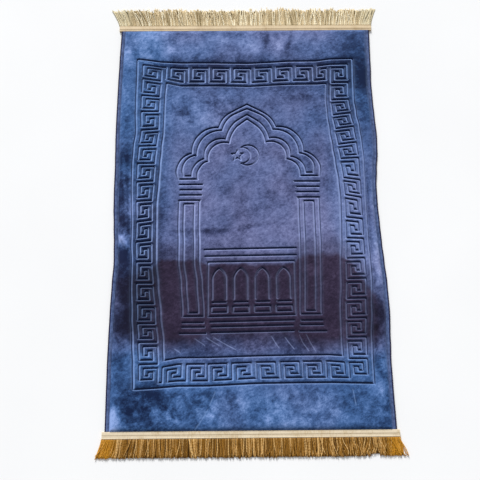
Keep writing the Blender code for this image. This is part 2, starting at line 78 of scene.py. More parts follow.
FRAME_OUT = (301, 448)  # half width and half length of the outer frame line
FRAME_IN = (225.8, 378.5)  # and of the inner one
KEY_STEP = (11.7, 10.2)  # across and along, from one line of the key border to the next
KEY_COLUMNS, KEY_ROWS = 49, 85  # steps over the whole border
KEY_MIDDLE = -2  # y of the key border's middle
KEY_UNITS_SIDE, KEY_UNITS_END = 17, 8  # how often its unit repeats along a side and an end

# How the cloth lies. Each table has a row for every line across the rug: its y on the flat
# cloth, then a push at each of these places: the left edge, the outer and the inner side of the
# left border, the left column, the middle, the right column, the inner and the outer side of
# the right border, the right edge. Between rows a push passes smoothly, between places straight.
# STOPS_X and STOPS_Y give the x of each place, and its number in the row.
STOPS_X = ((-338, 0), (-301, 1), (-226, 2), (-190, 3), (-128, 3), (-112, 4),
           (112, 4), (128, 5), (190, 5), (226, 6), (301, 7), (338, 8))
PUSH_X = (
    (560, -0.5, 0, 2, 2, 1, 0, -1, -1, 0),
    (440, -3, -0.5, 7.5, 9, 7, 4, -3.5, -5, -2),
    (385, -4, 0, 6.5, 9.5, 7.5, 4, -6, -6.5, -4),
    (330, -4.5, -0.5, 3.5, 1.5, 1, 0, -9, -7.5, -3),
    (280, -5, 0, 2.5, 1.5, 0.5, -1, -7, -4, -1),
    (225, -5, 2.5, 1.5, 2.5, 1, -0.5, -2.5, 2.5, 1.5),
    (175, -4, -2.5, -3, 3, 0, -0.5, 3, 6.5, 0),
    (125, -3, -4.5, -6.5, 4, -1, 1, 8, 9, -5),
    (75, -3, -4, -9, 5.5, 0, 5, 14, 8.5, -9),
    (20, -2, -2, -13, 2.5, 0.5, 2.5, 16.5, 7.5, -9),
    (-30, 0.5, 1, -12.5, 2, 1.5, 2.5, 15.5, 7.5, -7),
    (-80, 3, 1, -12, 3.5, 5.5, 3, 13.5, 7.5, -5),
    (-130, 4.5, 4, -11, 3.5, 7, 2, 10, 9, -2),
    (-185, 2, 4, -5, 10.5, 6.5, 0.5, 8.5, 10, 1.5),
    (-260, 0, 7.5, 3.5, 15.5, 6.5, -2, 3, 6.5, 3),
    (-335, -1, 12, 12, 15.5, 7.5, 2.5, 2, 1.5, 0),
    (-385, -1.5, 15.5, 14.5, 14.5, 8.5, 5, 2.5, 0, -2),
    (-440, -1, 17.5, 14, 14, 9, 5, 3, 0, -1.5),
    (-560, 0, 9, 8, 8, 5.5, 3, 1, 1, 0),
)
STOPS_Y = ((-338, 0), (-298, 1), (-240, 2), (-190, 3), (-110, 3), (0, 4),
           (110, 5), (190, 5), (240, 6), (298, 7), (338, 8))
PUSH_Y = (
    (560, 0, 0, 0, 0, 0, 0, 0, 0, 0),
    (440, 0, 9.5, -1, -4, -6, 0.5, 6.5, 7, 0),
    (385, 0, 17.5, 7, -6.5, -8.5, -2.5, 0, 0, 0),
    (330, 0, 16, 10.5, -0.5, 1.5, 0.5, -3, -1, 0),
    (280, 0, 16.5, 16.5, 0.5, 1.5, 1, 2.5, 9, 0),
    (225, 0, 10.5, 15, -1.5, 0.5, 2, 12.5, 19.5, 0),
    (175, 0, 15, 17, -2, 0.5, 2, 17, 23.5, 0),
    (125, 0, 16, 17, -4, 0.5, 4, 26, 28, 0),
    (75, 0, 13, 17, -2.5, 0.5, 4, 22.5, 13, 0),
    (20, 0, 9, 13.5, -2, 1, 4, 25.5, 14.5, 0),
    (-30, 0, 2.5, 9.5, -2, 0.5, 3, 14, 6.5, 0),
    (-80, 0, -1, 5, -1, 1, 2.5, 8, 5, 0),
    (-130, 0, -2, -1, -0.5, 0.5, 1.5, 4.5, 4.5, 0),
    (-185, 0, -6.5, -6.5, -2, -1, 0.5, 1.5, 2, 0),
    (-260, 0, -9.5, -9, -2.5, -0.5, 1.5, 1, 1.5, 0),
    (-335, 0, -4, -3.5, -2, 0, 2, 5, 5, 0),
    (-385, 0, -8, -6.5, 2.5, 5.5, 7, 3, 2, 0),
    (-440, 0, -4, -1, 3, 8, 9, 7.5, 6, 0),
    (-560, 0, 0, 0, 0, 0, 0, 0, 0, 0),
)
# The rise of the cloth: of its left margin, of its right margin and of the rest.
STOPS_RISE = ((-338, 2), (-298, 0), (-210, 2), (210, 2), (298, 1), (338, 2))
RISE = (
    (560, 0, 0, 0),
    (390, 0.5, 0, 0),
    (280, 1, 1, 0),
    (205, 1, 2.5, 0),
    (130, 1.5, 4, 0),
    (55, 2, 4.5, 0),
    (-20, 2.5, 4, 0),
    (-120, 3, 2.5, 0),
    (-240, 1, 2, 0),
    (-390, 0, 0.5, 0),
    (-560, 0, 0, 0),
)
SWAY, SWAY_ACROSS, SWAY_ALONG = 0.8, 83, 121  # broad unevenness of the top: height, spacings
SWAY_FROM = (0.6, 1.1)  # its phases in the rug's middle

# ---- The arch: half of each of its four nested lines. First its apex, then the end of each
# stretch and how far the stretch bulges over its chord, as a share of the chord.
ARCH_LINES = {
    "outermost": (313.5, (47, 287.5, 0.01), (76.5, 246, 0.1), (150, 173, 0.235),
                  (186.5, 99.5, 0.24)),
    "outer": (300, (38, 282.5, 0.01), (67.5, 238, 0.1), (137.5, 167, 0.225),
              (172.5, 109, 0.27)),
    "inner": (282.5, (31, 262.5, 0.01), (57.5, 212, 0.09), (113.5, 157.5, 0.285),
              (152, 109, 0.2)),
    "innermost": (269, (27, 248.5, 0.01), (48, 200, 0.09), (103, 150, 0.3),
                  (136, 99.5, 0.23)),
}
ARCH_STEPS = (2, 18, 24, 20)  # straight pieces in each stretch

CAPITALS = ((120.5, 185, 83.5), (124, 183, 68.5), (124, 182.5, 53.5), (127, 184, 38.5))
SHAFT_OUT = (129.7, 182.7, -270.5)  # inner side, outer side, bottom of a column's outer line
SHAFT_IN = (143, 169.5, 28.5, -261.5)  # inner side, outer side, top, bottom of its inner line
BASES = ((129.7, 182.7, -286.5), (125, 183, -298), (118, 189, -314))

LINTELS = ((118, -98.2), (117, -116.5))  # half width, y
PANEL = (110.5, -132, -271.5)  # half width, top, bottom
STEPS = ((105, -285.5), (101, -298), (103, -312.5))
ARCADE_PITCH, ARCADE_HALF = 54.6, 17.3
ARCADE_APEX, ARCADE_SPRING, ARCADE_FOOT = -148, -172, -227.5
ARCADE_BULGE = 0.11
PEDESTAL_BAR = -235.5
PEDESTAL = (20, -246.5, -261)  # half width, top, bottom

MOON = (1.5, 163.5, 29)  # x, y and radius of the crescent's outer edge
MOON_BITE = (-14, 163.5, 23)  # and of its inner edge
STAR = (-26, 164, 17, 7)  # x, y, radius of the points, radius of the notches


# ---- The cloth's surface ------------------------------------------------------------------
ALONG_LINE = 3.2  # between points along a pressed line
BESIDE_LINE = (1.3, 2.8, 4.4)  # distances of the rows of points beside it
FIELD_STEP, FIELD_UNEVEN = 5.2, 0.6  # between points of the open fields, and their random shift
EDGE_RINGS = (0, 1.5, 3, 5, 8, 12)  # rows of points inside the tapes
EDGE_RISE = ((0, -5.8), (1.5, -3.1), (3, -1.6), (6, -0.6), (12, 0))  # inwards, height
PUFF, PUFF_REACH = 1.3, 17  # rise of the padding away from the pressed lines
LUMPS = ((0.55, 62), (0.35, 21), (0.16, 8))  # unevenness of the padding: height, size

# Folds and creases: their two ends, half width and height, negative for a crease.
FOLD_COLUMNS = ("x0", "y0", "x1", "y1", "half", "high")
FOLDS = (
    (306, -48, 336, -112, 9, 3.5),
    (-334, -62, -310, -92, 7.5, 4.8),
    (-334, -8, -306, -40, 9, 1.8),
    (-328, -92, -318, -128, 8, -3),
    (-324, 150, -312, -40, 5, 2.2),
    (-314, 120, -305, -60, 5, -1.8),
    (-240, -50, -60, -48, 7, -0.8),
    (-60, -48, 60, -30, 7, -0.8),
    (312, -210, 334, -262, 10, 1.6),
    (316, 60, 317, -190, 8, -1.3),
    (-332, -250, -304, -300, 12, -1.5),
    (-334, 546, -300, 462, 9, -0.8),
    (-300, 500, -298, 455, 8, -0.9),
    (330, -470, 329, -548, 7, -0.9),
)

# Scratches, where something has parted the pile: the two ends of each.
SCRATCH_HALF, SCRATCH_DEEP = 1.5, 0.6
SCRATCHES = (
    (-152, -326, -124, -345), (-118, -322, -84, -344),
    (-96, -324, -44, -357), (46, -324, 64, -356),
    (80, -328, 101, -360), (117, -322, 141, -366),
    (138, -322, 157, -366), (-200, -352, -186, -364),
    (-94, -462, -106, -492), (-110, -502, -142, -547),
    (246, -462, 252, -496), (-300, 444, -262, 438),
)

# ---- Tapes --------------------------------------------------------------------------------
NOSE_STEPS, TAPE_STEPS = 9, 13  # points round a tape's outer edge and across its top
BINDING_STEPS, HEADING_STEPS = 1101, 891  # sections along a tape
CROWN = 0.25  # rise of a tape's middle
BINDING_SEAM = 2.4  # from a binding's inner edge to its seam
OVERSEWN_PITCH, OVERSEWN_SWELL = 4.2, 0.55  # of the stitching over a binding's outer edge
RIB, RIB_PITCH = 0.12, 1.6  # height and half spacing of a heading's ribs
BINDING_STITCH = {"pitch": 3.9, "long": 2.7, "radius": 0.42}
HEADING_STITCH = {"pitch": 3.6, "long": 2.6, "radius": 0.45}
STITCH_SIDES = 6
# A stitch's rings: place along it, radii past its end, width in radii.
STITCH_RINGS = ((0, -0.7, 0.35), (0, 0, 1), (0.5, 0, 1.1), (1, 0, 1), (1, 0.7, 0.35))

# ---- Fringes ------------------------------------------------------------------------------
HALF_FRINGE = WIDTH / 2 + OVERHANG
# Each fringe: which way it points along Y, its strands' length past the heading and the lean of
# its two outermost ones, its locks and the places of a lock's yarns, how far locks and yarns lean
# at random, how wavy and how uneven in length they are, the spread of the locks' tones, the share
# of stray yarns and how far they go, how far some are swept to the left, how much its right end
# is ruffled, the depth of a bay there, and the place of its heading's seam.
FRINGES = {
    "top": {
        "away": 1, "long": 50, "fan": (-22, 15), "locks": 168, "places": (-1.5, 0, 1.5),
        "lock_lean": 4.2, "lean": 3.4, "wavy": 2.4, "uneven": 0.06, "lock_tone": 0.10,
        "strays": 0.08, "stray_far": 9, "swept": -9, "ruffled": 0, "bay": 0, "seam": 4.6,
    },
    "bottom": {
        "away": -1, "long": 43, "fan": (-14, 6), "locks": 190, "places": (-1.3, 0, 1.3),
        "lock_lean": 2.4, "lean": 2.2, "wavy": 1.6, "uneven": 0.018, "lock_tone": 0.08,
        "strays": 0.03, "stray_far": 12, "swept": 0, "ruffled": 2.4, "bay": 7, "seam": 9.4,
    },
}
FAN_FROM = 0.45  # of the half width: inside it the strands don't fan out
SWEPT_AT, SWEPT_WIDE = -190, 110  # x of the swept strands' middle, and their spread
RUFFLED_FROM, RUFFLED_OVER = 130, 100  # from which x the end is ruffled, and how soon fully
BAY_AT, BAY_WIDE = 291, 15  # x of the bay's middle, and its half width
DROP = 0.35  # share of a strand's length over which it drops from the heading to the floor
YARN_STEPS, YARN_PLIES, PLY_SIDES = 13, 2, 4  # rings along a yarn, its plies, a ply's sides
PLY_RADIUS, TWIST_LONG = 0.72, 12.5  # and over what length the plies turn once
YARN_LEVEL, LEVEL_APART = 2.3, 0.9  # heights of the yarns lying on the under row
YARN_ROOT = 3.6  # and of all yarns at the heading
UNDER_STEPS, UNDER_SIDES = 7, 6  # rings along a strand of the under row, and its sides
UNDER_RADIUS, UNDER_WIDE = 0.85, 2.6  # half its height, and how much wider than high it is
UNDER_HEIGHTS = (1.4, 0.9)  # of its middle line, at the root and on the floor
SEED = 11


# ---- Lines on the flat cloth --------------------------------------------------------------
def bulged(start, end, bulge, steps):
    """Points of an arc from start to just before end, bulging to the left of the way it goes."""
    a, b = np.array(start, float), np.array(end, float)
    chord = b - a
    outwards = np.array([-chord[1], chord[0]])
    radius = (1 + 4 * bulge * bulge) / (8 * bulge)  # in chords
    half = math.asin(0.5 / radius)
    points = []
    for i in range(steps):
        turn = half * (2 * i / steps - 1)
        along = 0.5 + radius * math.sin(turn)
        off = radius * math.cos(turn) - (radius - bulge)
        points.append(tuple(a + along * chord + off * outwards))
    return points


def half_arch(name):
    """The right half of one line of the arch, from its apex to its foot."""
    apex, *stretches = ARCH_LINES[name]
    start = (0.0, apex)
    points = []
    for (x, y, bulge), steps in zip(stretches, ARCH_STEPS):
        points += bulged(start, (x, y), bulge, steps)
        start = (x, y)
    return points + [start]


def mirrored(points):
    return [(-x, y) for x, y in points]


def arch_ring(outer, inner):
    """Two lines of the arch joined at their feet into one closed line."""
    out, into = half_arch(outer), half_arch(inner)
    return mirrored(out[::-1]) + out[1:] + into[::-1] + mirrored(into[1:])


def rectangle(x0, x1, y0, y1):
    return [(x0, y0), (x1, y0), (x1, y1), (x0, y1)]


def key_run(units):
    """One side of the key border, as steps (in from 0 to out at 4, along)."""
    unit = ((4, -1), (4, 3), (1, 3), (1, 1), (2, 1), (2, 2), (3, 2), (3, 0), (0, 0), (0, 4))
    return [(a, r + 5 * n) for n in range(units) for a, r in unit]


def key_line():
    """The whole key border as one closed line, clockwise from its top right corner."""
    last = KEY_ROWS
    side, end = key_run(KEY_UNITS_SIDE), key_run(KEY_UNITS_END)
    right = [(KEY_COLUMNS - 4 + a, r + 1) for a, r in side]
    bottom = [(KEY_COLUMNS - 5 - r, last - 4 + a) for a, r in end]
    left = [(KEY_COLUMNS - i, j) for i, j in right]
    top = [(i, last - j) for i, j in bottom]
    cells = right + bottom[1:] + [(5, last)] + left[::-1] + [(5, 0)] + top[:0:-1]
    wide, high = KEY_STEP
    return [((i - KEY_COLUMNS / 2) * wide, KEY_MIDDLE + (KEY_ROWS / 2 - j) * high) for i, j in cells]


def small_arch(x):
    """One pointed arch of the arcade, an open line from foot to foot."""
    right = bulged((x, ARCADE_APEX), (x + ARCADE_HALF, ARCADE_SPRING), ARCADE_BULGE, 8)
    right += [(x + ARCADE_HALF, ARCADE_SPRING), (x + ARCADE_HALF, ARCADE_FOOT)]
    left = [(2 * x - px, py) for px, py in right[:0:-1]]
    return left + right


def crescent():
    """A closed line: the outer circle from tip to tip, then back along the inner one."""
    (cx, cy, big), (bx, _, small) = MOON, MOON_BITE
    apart = cx - bx
    tip_x = bx + (small**2 - big**2 + apart**2) / (2 * apart)
    wide = math.acos((tip_x - cx) / big)
    narrow = math.acos((tip_x - bx) / small)
    outer = [(cx + big * math.cos(t), cy + big * math.sin(t)) for t in np.linspace(-wide, wide, 60)]
    turns = np.linspace(narrow, -narrow, 44)[1:-1]
    return outer + [(bx + small * math.cos(t), cy + small * math.sin(t)) for t in turns]


def star():
    cx, cy, tip, notch = STAR
    points = []
    for i in range(10):
        turn = math.pi / 2 + i * math.pi / 5
        reach = notch if i % 2 else tip
        points.append((cx + reach * math.cos(turn), cy + reach * math.sin(turn)))
    return points


def pressed_lines():
    """Every pressed line and scratch: its points, whether it closes, half width and depth."""
    lines = []

    def press(points, closed=False, half=GROOVE_HALF, deep=GROOVE_DEEP):
        lines.append((np.array(points, float), closed, half, deep))

    for half_x, half_y in (FRAME_OUT, FRAME_IN):
        press(rectangle(-half_x, half_x, -half_y, half_y), True)
    press(key_line(), True)
    press(arch_ring("outermost", "innermost"), True)
    press(arch_ring("outer", "inner"), True)
    for side in (-1, 1):
        for near, far, y in CAPITALS + BASES:
            press([(side * near, y), (side * far, y)])
        near, far, bottom = SHAFT_OUT
        top = CAPITALS[-1][2]
        press([(side * near, top), (side * near, bottom), (side * far, bottom), (side * far, top)])
        near, far, top, bottom = SHAFT_IN
        press(rectangle(side * near, side * far, bottom, top), True)
    for half_x, y in LINTELS + STEPS:
        press([(-half_x, y), (half_x, y)])
    half_x, top, bottom = PANEL
    press(rectangle(-half_x, half_x, bottom, top), True)
    for i in range(4):
        x = (i - 1.5) * ARCADE_PITCH
        press(small_arch(x))
        press([(x - ARCADE_HALF, PEDESTAL_BAR), (x + ARCADE_HALF, PEDESTAL_BAR)])
        half_x, top, bottom = PEDESTAL
        press(rectangle(x - half_x, x + half_x, bottom, top), True)
    press(crescent(), True, FINE_HALF, FINE_DEEP)
    press(star(), True, FINE_HALF, FINE_DEEP)
    for x0, y0, x1, y1 in SCRATCHES:
        press([(x0, y0), (x1, y1)], False, SCRATCH_HALF, SCRATCH_DEEP)
    return lines


def stretches_of(points, closed):
    """The two ends of each stretch of a line."""
    ends = np.vstack([points, points[:1]]) if closed else points
    return list(zip(ends, ends[1:]))


def subdivided(points, closed, longest):
    """The same line with no stretch longer than this."""
    points = np.array(points, float)
    out = []
    for a, b in stretches_of(points, closed):
        pieces = max(1, math.ceil(math.dist(a, b) / longest - 1e-6))
        out += [a + (b - a) * i / pieces for i in range(pieces)]
    return np.array(out if closed else out + [points[-1]])


# ---- How the cloth lies -------------------------------------------------------------------
def pushed(table, stops, x, y):
    """What a table says at points of the flat cloth."""
    rows = np.array(table)[::-1]
    at = np.clip(y, rows[0, 0], rows[-1, 0])
    i = np.clip(np.searchsorted(rows[:, 0], at) - 1, 0, len(rows) - 2)
    t = (at - rows[i, 0]) / (rows[i + 1, 0] - rows[i, 0])
    t = (t * t * (3 - 2 * t))[:, None]
    values = (rows[i] * (1 - t) + rows[i + 1] * t)[:, 1:]
    out = values[:, stops[0][1]].copy()
    for (x0, a), (x1, b) in zip(stops, stops[1:]):
        out += (values[:, b] - values[:, a]) * np.clip((x - x0) / (x1 - x0), 0, 1)
    return out


def lying(x, y):
    """Where points of the flat cloth come to lie: x, y and how much their top rises."""
    x, y = np.asarray(x, float), np.asarray(y, float)
    push_x = pushed(PUSH_X, STOPS_X, x, y)
    push_y = pushed(PUSH_Y, STOPS_Y, x, y)
    return x + push_x, y + push_y, pushed(RISE, STOPS_RISE, x, y)


def sewn_in(p):
    """How far points are inside the tapes' inner edges, negative under a tape."""
    inside_x = WIDTH / 2 - BINDING - GAP - np.abs(p[:, 0])
    inside_y = LENGTH / 2 - GAP - np.abs(p[:, 1])
    return np.minimum(inside_x, inside_y)


def to_stretch(p, a, b):
    """Distance from each point to the one stretch from a to b, or to its own of several."""
    along = b - a
    t = np.clip(((p - a) * along).sum(-1) / (along**2).sum(-1), 0, 1)
    return np.linalg.norm(p - (a + t[..., None] * along), axis=-1)


class Pressed:
    """Finds how far points of the flat cloth are from the nearest pressed line."""

    SAMPLE = 0.7  # between the places that the search compares

    def __init__(self, lines):
        stretches = [(a, b, half, deep) for points, closed, half, deep in lines
                     for a, b in stretches_of(points, closed)]
        self.a, self.b, self.half, self.deep = map(np.array, zip(*stretches))
        places, owner = [], []
        for number, (a, b, _, _) in enumerate(stretches):
            count = max(2, math.ceil(math.dist(a, b) / self.SAMPLE))
            places += [a + (b - a) * t for t in np.linspace(0, 1, count)]
            owner += [number] * count
        self.owner = np.array(owner)
        self.tree = kdtree.KDTree(len(places))
        for i, (x, y) in enumerate(places):
            self.tree.insert((x, y, 0.0), i)
        self.tree.balance()

    def look(self, p):
        """For each point: how far the nearest line is, its half width and depth, and how upright."""
        near = [self.tree.find((x, y, 0.0))[1] for x, y in p]
        stretch = self.owner[near]
        a, b = self.a[stretch], self.b[stretch]
        upright = np.abs(b - a)[:, 1] / np.linalg.norm(b - a, axis=1)
        return to_stretch(p, a, b), self.half[stretch], self.deep[stretch], upright**2


# ---- The cloth's mesh ---------------------------------------------------------------------
def known_as(p):
    """A point's rounded place, which equal points share."""
    return round(float(p[0]), 3), round(float(p[1]), 3)


class Plan:
    """Points and lines for a flat triangulation, in which two equal points are one."""

    def __init__(self):
        self.points, self.edges, self.known = [], [], {}

    def point(self, p):
        key = known_as(p)
        if key not in self.known:
            self.known[key] = len(self.points)
            self.points.append(key)
        return self.known[key]

    def line(self, points, closed):
        ids = [self.point(p) for p in points]
        pairs = list(zip(ids, ids[1:])) + ([(ids[-1], ids[0])] if closed else [])
        self.edges += [pair for pair in pairs if pair[0] != pair[1]]

    def triangles(self):
        made = delaunay_2d_cdt([Vector(p) for p in self.points], self.edges, [], 0, 1e-4)
        return np.array([tuple(v) for v in made[0]]), [tuple(f) for f in made[2]]


def ring_at(inside, longest=4.0):
    """A rectangle this far inside the tapes' inner edges, with points along it."""
    x = WIDTH / 2 - BINDING - GAP - inside
    y = LENGTH / 2 - GAP - inside
    return subdivided(rectangle(-x, x, -y, y), True, longest)


def outline():
    """The cloth's cut edge, inside its tapes: a ring's points moved out, three at a corner."""
    ring = ring_at(0.0)
    wide, long = ring.max(axis=0)
    out_x, out_y = WIDTH / 2 - TAPE - GAP, LENGTH / 2 + LAP
    points = []
    for x, y in ring:
        far_x, far_y = math.copysign(out_x, x), math.copysign(out_y, y)
        if abs(x) > wide - GAP:
            points.append((far_x, y))
        if abs(y) > long - GAP:
            points.append((x, far_y))
        if abs(x) > wide - GAP and abs(y) > long - GAP:
            points.append((far_x, far_y))
    return np.array(sorted(points, key=lambda p: math.atan2(p[1], p[0])))


def thinned(points, apart):
    """Points in order, leaving out each that is nearer than this to one already kept."""
    kept, cells = [], {}
    for x, y in points:
        cell = (math.floor(x / apart), math.floor(y / apart))
        near = (cells.get((cell[0] + i, cell[1] + j), ()) for i in (-1, 0, 1) for j in (-1, 0, 1))
        if all((x - u) ** 2 + (y - v) ** 2 >= apart**2 for found in near for u, v in found):
            cells.setdefault(cell, []).append((x, y))
            kept.append((x, y))
    return np.array(kept)


def beside(points, closed, away, pressed):
    """Points at this distance from a line, all round its corners and ends."""
    ends = np.vstack([points[-1:], points, points[:1]]) if closed else np.vstack(
        [2 * points[:1] - points[1:2], points, 2 * points[-1:] - points[-2:-1]]
    )
    way = ends[2:] - ends[:-2]
    across = np.arctan2(way[:, 0], -way[:, 1])
    turns = across[:, None] + np.arange(12) * math.pi / 6
    ring = points[:, None] + away * np.stack([np.cos(turns), np.sin(turns)], axis=2)
    ring = ring.transpose(1, 0, 2).reshape(-1, 2)
    return ring[pressed.look(ring)[0] > 0.95 * away]


def field_points(pressed, rng):
    """A slightly uneven triangular grid over the open fields, clear of lines and edges."""
    rows = np.arange(-LENGTH / 2, LENGTH / 2, FIELD_STEP * 0.866)
    columns = np.arange(-WIDTH / 2, WIDTH / 2, FIELD_STEP)
    grid = np.array([(x + FIELD_STEP / 2 * (j % 2), y) for j, y in enumerate(rows) for x in columns])
    grid += rng.uniform(-FIELD_UNEVEN, FIELD_UNEVEN, grid.shape)
    grid = grid[sewn_in(grid) > EDGE_RINGS[-1] + FIELD_STEP / 2]
    return grid[pressed.look(grid)[0] > BESIDE_LINE[-1] + FIELD_STEP / 2]


def lumps(p):
    """Height of the padding's unevenness at these points."""
    out = np.zeros(len(p))
    for high, size in LUMPS:
        out += high * np.array([noise.noise((x / size, y / size, high)) for x, y in p])
    return out


def top_height(p, pressed):
    """At points of the flat cloth: the top's height, how light its bottoms are (painted shade in
    lines across, painted highlight in lines along, lighter parted pile in scratches), and how much it
    is a pressed line's wall.
    """
    inside = sewn_in(p)
    stops, drops = zip(*EDGE_RISE)
    height = THICK + np.interp(inside, stops, drops)
    share = np.clip(inside / EDGE_RINGS[-1], 0, 1)
    away, half, deep, upright = pressed.look(p)
    sway = np.sin(p[:, 0] / SWAY_ACROSS + SWAY_FROM[0]) * np.sin(p[:, 1] / SWAY_ALONG + SWAY_FROM[1])
    rise = SWAY * sway + lying(p[:, 0], p[:, 1])[2] + lumps(p)
    rise += PUFF * (1 - np.exp(-((away / PUFF_REACH) ** 2)))
    for row in FOLDS:
        fold = dict(zip(FOLD_COLUMNS, row))
        start, end = np.array([fold["x0"], fold["y0"]]), np.array([fold["x1"], fold["y1"]])
        t = np.clip(to_stretch(p, start, end) / fold["half"], 0, 1)
        rise += fold["high"] * (1 - t * t) ** 2
    sunk = 1 - np.sin(np.clip(away / half, 0, 1) * math.pi / 2)
    # Painted shade in the bottoms of lines across the rug, painted highlight in those along it.
    bottom_light_and_shade = PAINTED_SHADE_ACROSS + (PAINTED_SHEEN_ALONG - PAINTED_SHADE_ACROSS) * upright
    core = np.clip(1 - away / (half * BOTTOM_LIGHT_WIDE), 0, 1)
    light = core * np.where(deep > SCRATCH_DEEP, bottom_light_and_shade, PARTED)
    wall = np.clip(WALL_WIDE - away / half, 0, 1) * (deep > SCRATCH_DEEP)
    return height + share * rise - sunk * deep, light, wall


def cloth_mesh(rng):
    """The padded cloth: its pressed top, its cut edge and its flat underside."""
    lines = pressed_lines()
    pressed = Pressed(lines)
    top = Plan()
    top.line(outline(), True)
    for inside in EDGE_RINGS:
        for p in ring_at(inside):
            top.point(p)
    dense = [(subdivided(points, closed, ALONG_LINE), closed) for points, closed, _, _ in lines]
    for points, closed in dense:
        top.line(points, closed)
    for away in BESIDE_LINE:
        found = np.vstack([beside(points, closed, away, pressed) for points, closed in dense])
        found = found[sewn_in(found) > EDGE_RINGS[-1] + 1]
        for p in thinned(found, 0.62 * ALONG_LINE):
            top.point(p)
    for p in field_points(pressed, rng):
        top.point(p)
    below = Plan()
    below.line(outline(), True)
    below.line(ring_at(0.0), True)
    below.line(ring_at(3.0), True)

    flat_top, top_faces = top.triangles()
    flat_below, below_faces = below.triangles()
    height, light, wall = top_height(flat_top, pressed)
    rest = np.where(sewn_in(flat_below) > 1.5, 0.0, TAPE + GAP)
    upper = np.column_stack([*lying(*flat_top.T)[:2], height])
    lower = np.column_stack([*lying(*flat_below.T)[:2], rest])
    shift = len(upper)
    faces = top_faces + [tuple(shift + i for i in reversed(f)) for f in below_faces]
    finish = [0] * len(top_faces) + [1] * len(below_faces)
    above, under = ({known_as(p): i for i, p in enumerate(flat)} for flat in (flat_top, flat_below))
    edge = [known_as(p) for p in outline()]
    for here, after in zip(edge, edge[1:] + edge[:1]):
        faces.append((above[here], shift + under[here], shift + under[after], above[after]))
        finish.append(1)
    none = np.zeros(len(lower))
    # light holds the bottoms' painted shade and highlight, and the scratches' lighter parted pile.
    marks = {"light": np.append(light, none), "wall": np.append(wall, none)}
    return np.vstack([upper, lower]), faces, finish, marks


# ---- Nap: the way the pile was last brushed, with painted light and shade of folds ---------
# Lighter and darker strokes: middle, half sizes along and across, turn in degrees, tone. Most are
# nap; some are painted light and shade of folds, and some are painted shadow by the band.
STROKE_COLUMNS = ("x", "y", "long", "wide", "turn", "tone")
STROKES = (
    # the far margin
    (-300, 490, 90, 64, 0, 0.45),
    (60, 505, 330, 46, 0, 0.20),
    (-318, 500, 46, 9, -66, -0.45),
    (-120, 505, 90, 36, 0, 0.12),
    (-70, 540, 60, 9, 0, -0.25),
    (25, 497, 34, 20, 70, 0.60),
    (58, 512, 34, 7, 80, -0.95),
    (92, 495, 36, 10, 75, 0.50),
    (124, 514, 30, 7, 75, -0.90),
    (200, 500, 60, 30, 20, 0.05),
    (305, 470, 100, 56, 90, -0.85),
    # the key border
    (-60, 412, 260, 44, 0, -1.30),
    (220, 412, 90, 44, 0, -0.90),
    (-262, 240, 120, 38, 90, -0.40),
    (-262, 0, 150, 40, 90, -1.05),
    (262, 300, 120, 36, 90, -0.85),
    (262, 0, 150, 36, 90, 0.50),
    (0, -415, 280, 34, 0, -0.30),
    # the upper field
    (145, 335, 36, 17, 8, -0.60),
    (200, 300, 34, 60, 0, -0.25),
    (-96, 316, 38, 13, 22, -0.48),
    (-168, 290, 26, 10, 10, -0.30),
    (-45, 345, 50, 12, 0, 0.12),
    (-120, 255, 50, 30, 35, 0.36),
    (-190, 210, 30, 40, 0, 0.12),
    (-40, 255, 20, 9, 40, -0.15),
    # the middle field
    (-58, 58, 21, 6, 50, -0.42),
    (-20, 30, 34, 10, 20, -0.12),
    (-165, -50, 78, 7, 0, -0.45),
    (-84, -49, 26, 7, 0, -0.55),
    (-4, -39, 40, 6, 10, -0.50),
    (60, -30, 40, 5, 5, -0.18),
    (-50, -66, 70, 10, 3, 0.15),
    (150, -10, 60, 80, 0, 0.14),
    # the side margins: nap, with painted highlights and painted shade of their folds and hollows, and
    # painted shadow at the band's left end
    (-324, 390, 80, 20, 90, 0.50),
    (-326, 245, 30, 20, 90, -0.45),
    (-326, 192, 30, 18, 90, -0.60),
    (-326, 70, 130, 24, 90, -1.10),
    (-309, 60, 100, 5, 93, 0.80),
    (-322, 60, 90, 4, 94, 0.80),
    (-329, -36, 14, 7, -50, 0.45),
    (-322, -76, 22, 10, -60, 1.60),
    (-322, -110, 22, 18, 90, -1.4),
    (-324, -185, 52, 22, 90, -0.75),
    (-322, -216, 12, 8, 40, 0.25),
    (-316, -282, 40, 26, 90, -1.2),
    (-274, -200, 150, 40, 90, -1.30),
    (-322, -380, 60, 22, 90, -0.60),
    (-334, -420, 40, 9, 90, 0.20),
    (322, 392, 34, 18, 90, -1.00),
    (325, 300, 60, 20, 90, -0.45),
    (322, 200, 50, 18, 90, -0.10),
    (331, 60, 90, 9, 90, 0.42),
    (331, -110, 110, 11, 92, 0.62),
    (314, -20, 120, 3.5, 90, -0.35),
    (318, -290, 62, 24, 80, -1),
    (312, -460, 80, 12, 85, 0.20),
    (331, -510, 50, 8, 90, -0.40),
    # painted shadow fading out under the band, and the near margin
    (-170, -348, 70, 26, 0, -0.30),
    (-10, -352, 44, 16, 0, 0.22),
    (0, -345, 230, 30, 0, -0.50),
    (130, -345, 70, 22, 0, -0.25),
    (0, -500, 330, 50, 0, 0.05),
    (-330, -520, 44, 16, 90, 1.70),
    (-262, -496, 72, 46, 10, -1),
    (-300, -470, 80, 40, 0, -0.60),
    (-200, -520, 40, 24, 0, -0.12),
    (-128, -468, 16, 6, 30, -0.60),
    (-104, -464, 12, 6, -20, -0.60),
    (-130, -484, 14, 6, 0, -0.50),
    (-88, -500, 30, 7, 65, 0.35),
    (50, -505, 90, 34, 0, 0.26),
    (46, -481, 22, 9, 15, -0.62),
    (180, -500, 60, 36, 0, 0.20),
    (290, -500, 56, 54, 0, -0.55),
)
NAP_RAGGED = 0.8  # how ragged the strokes' outlines are

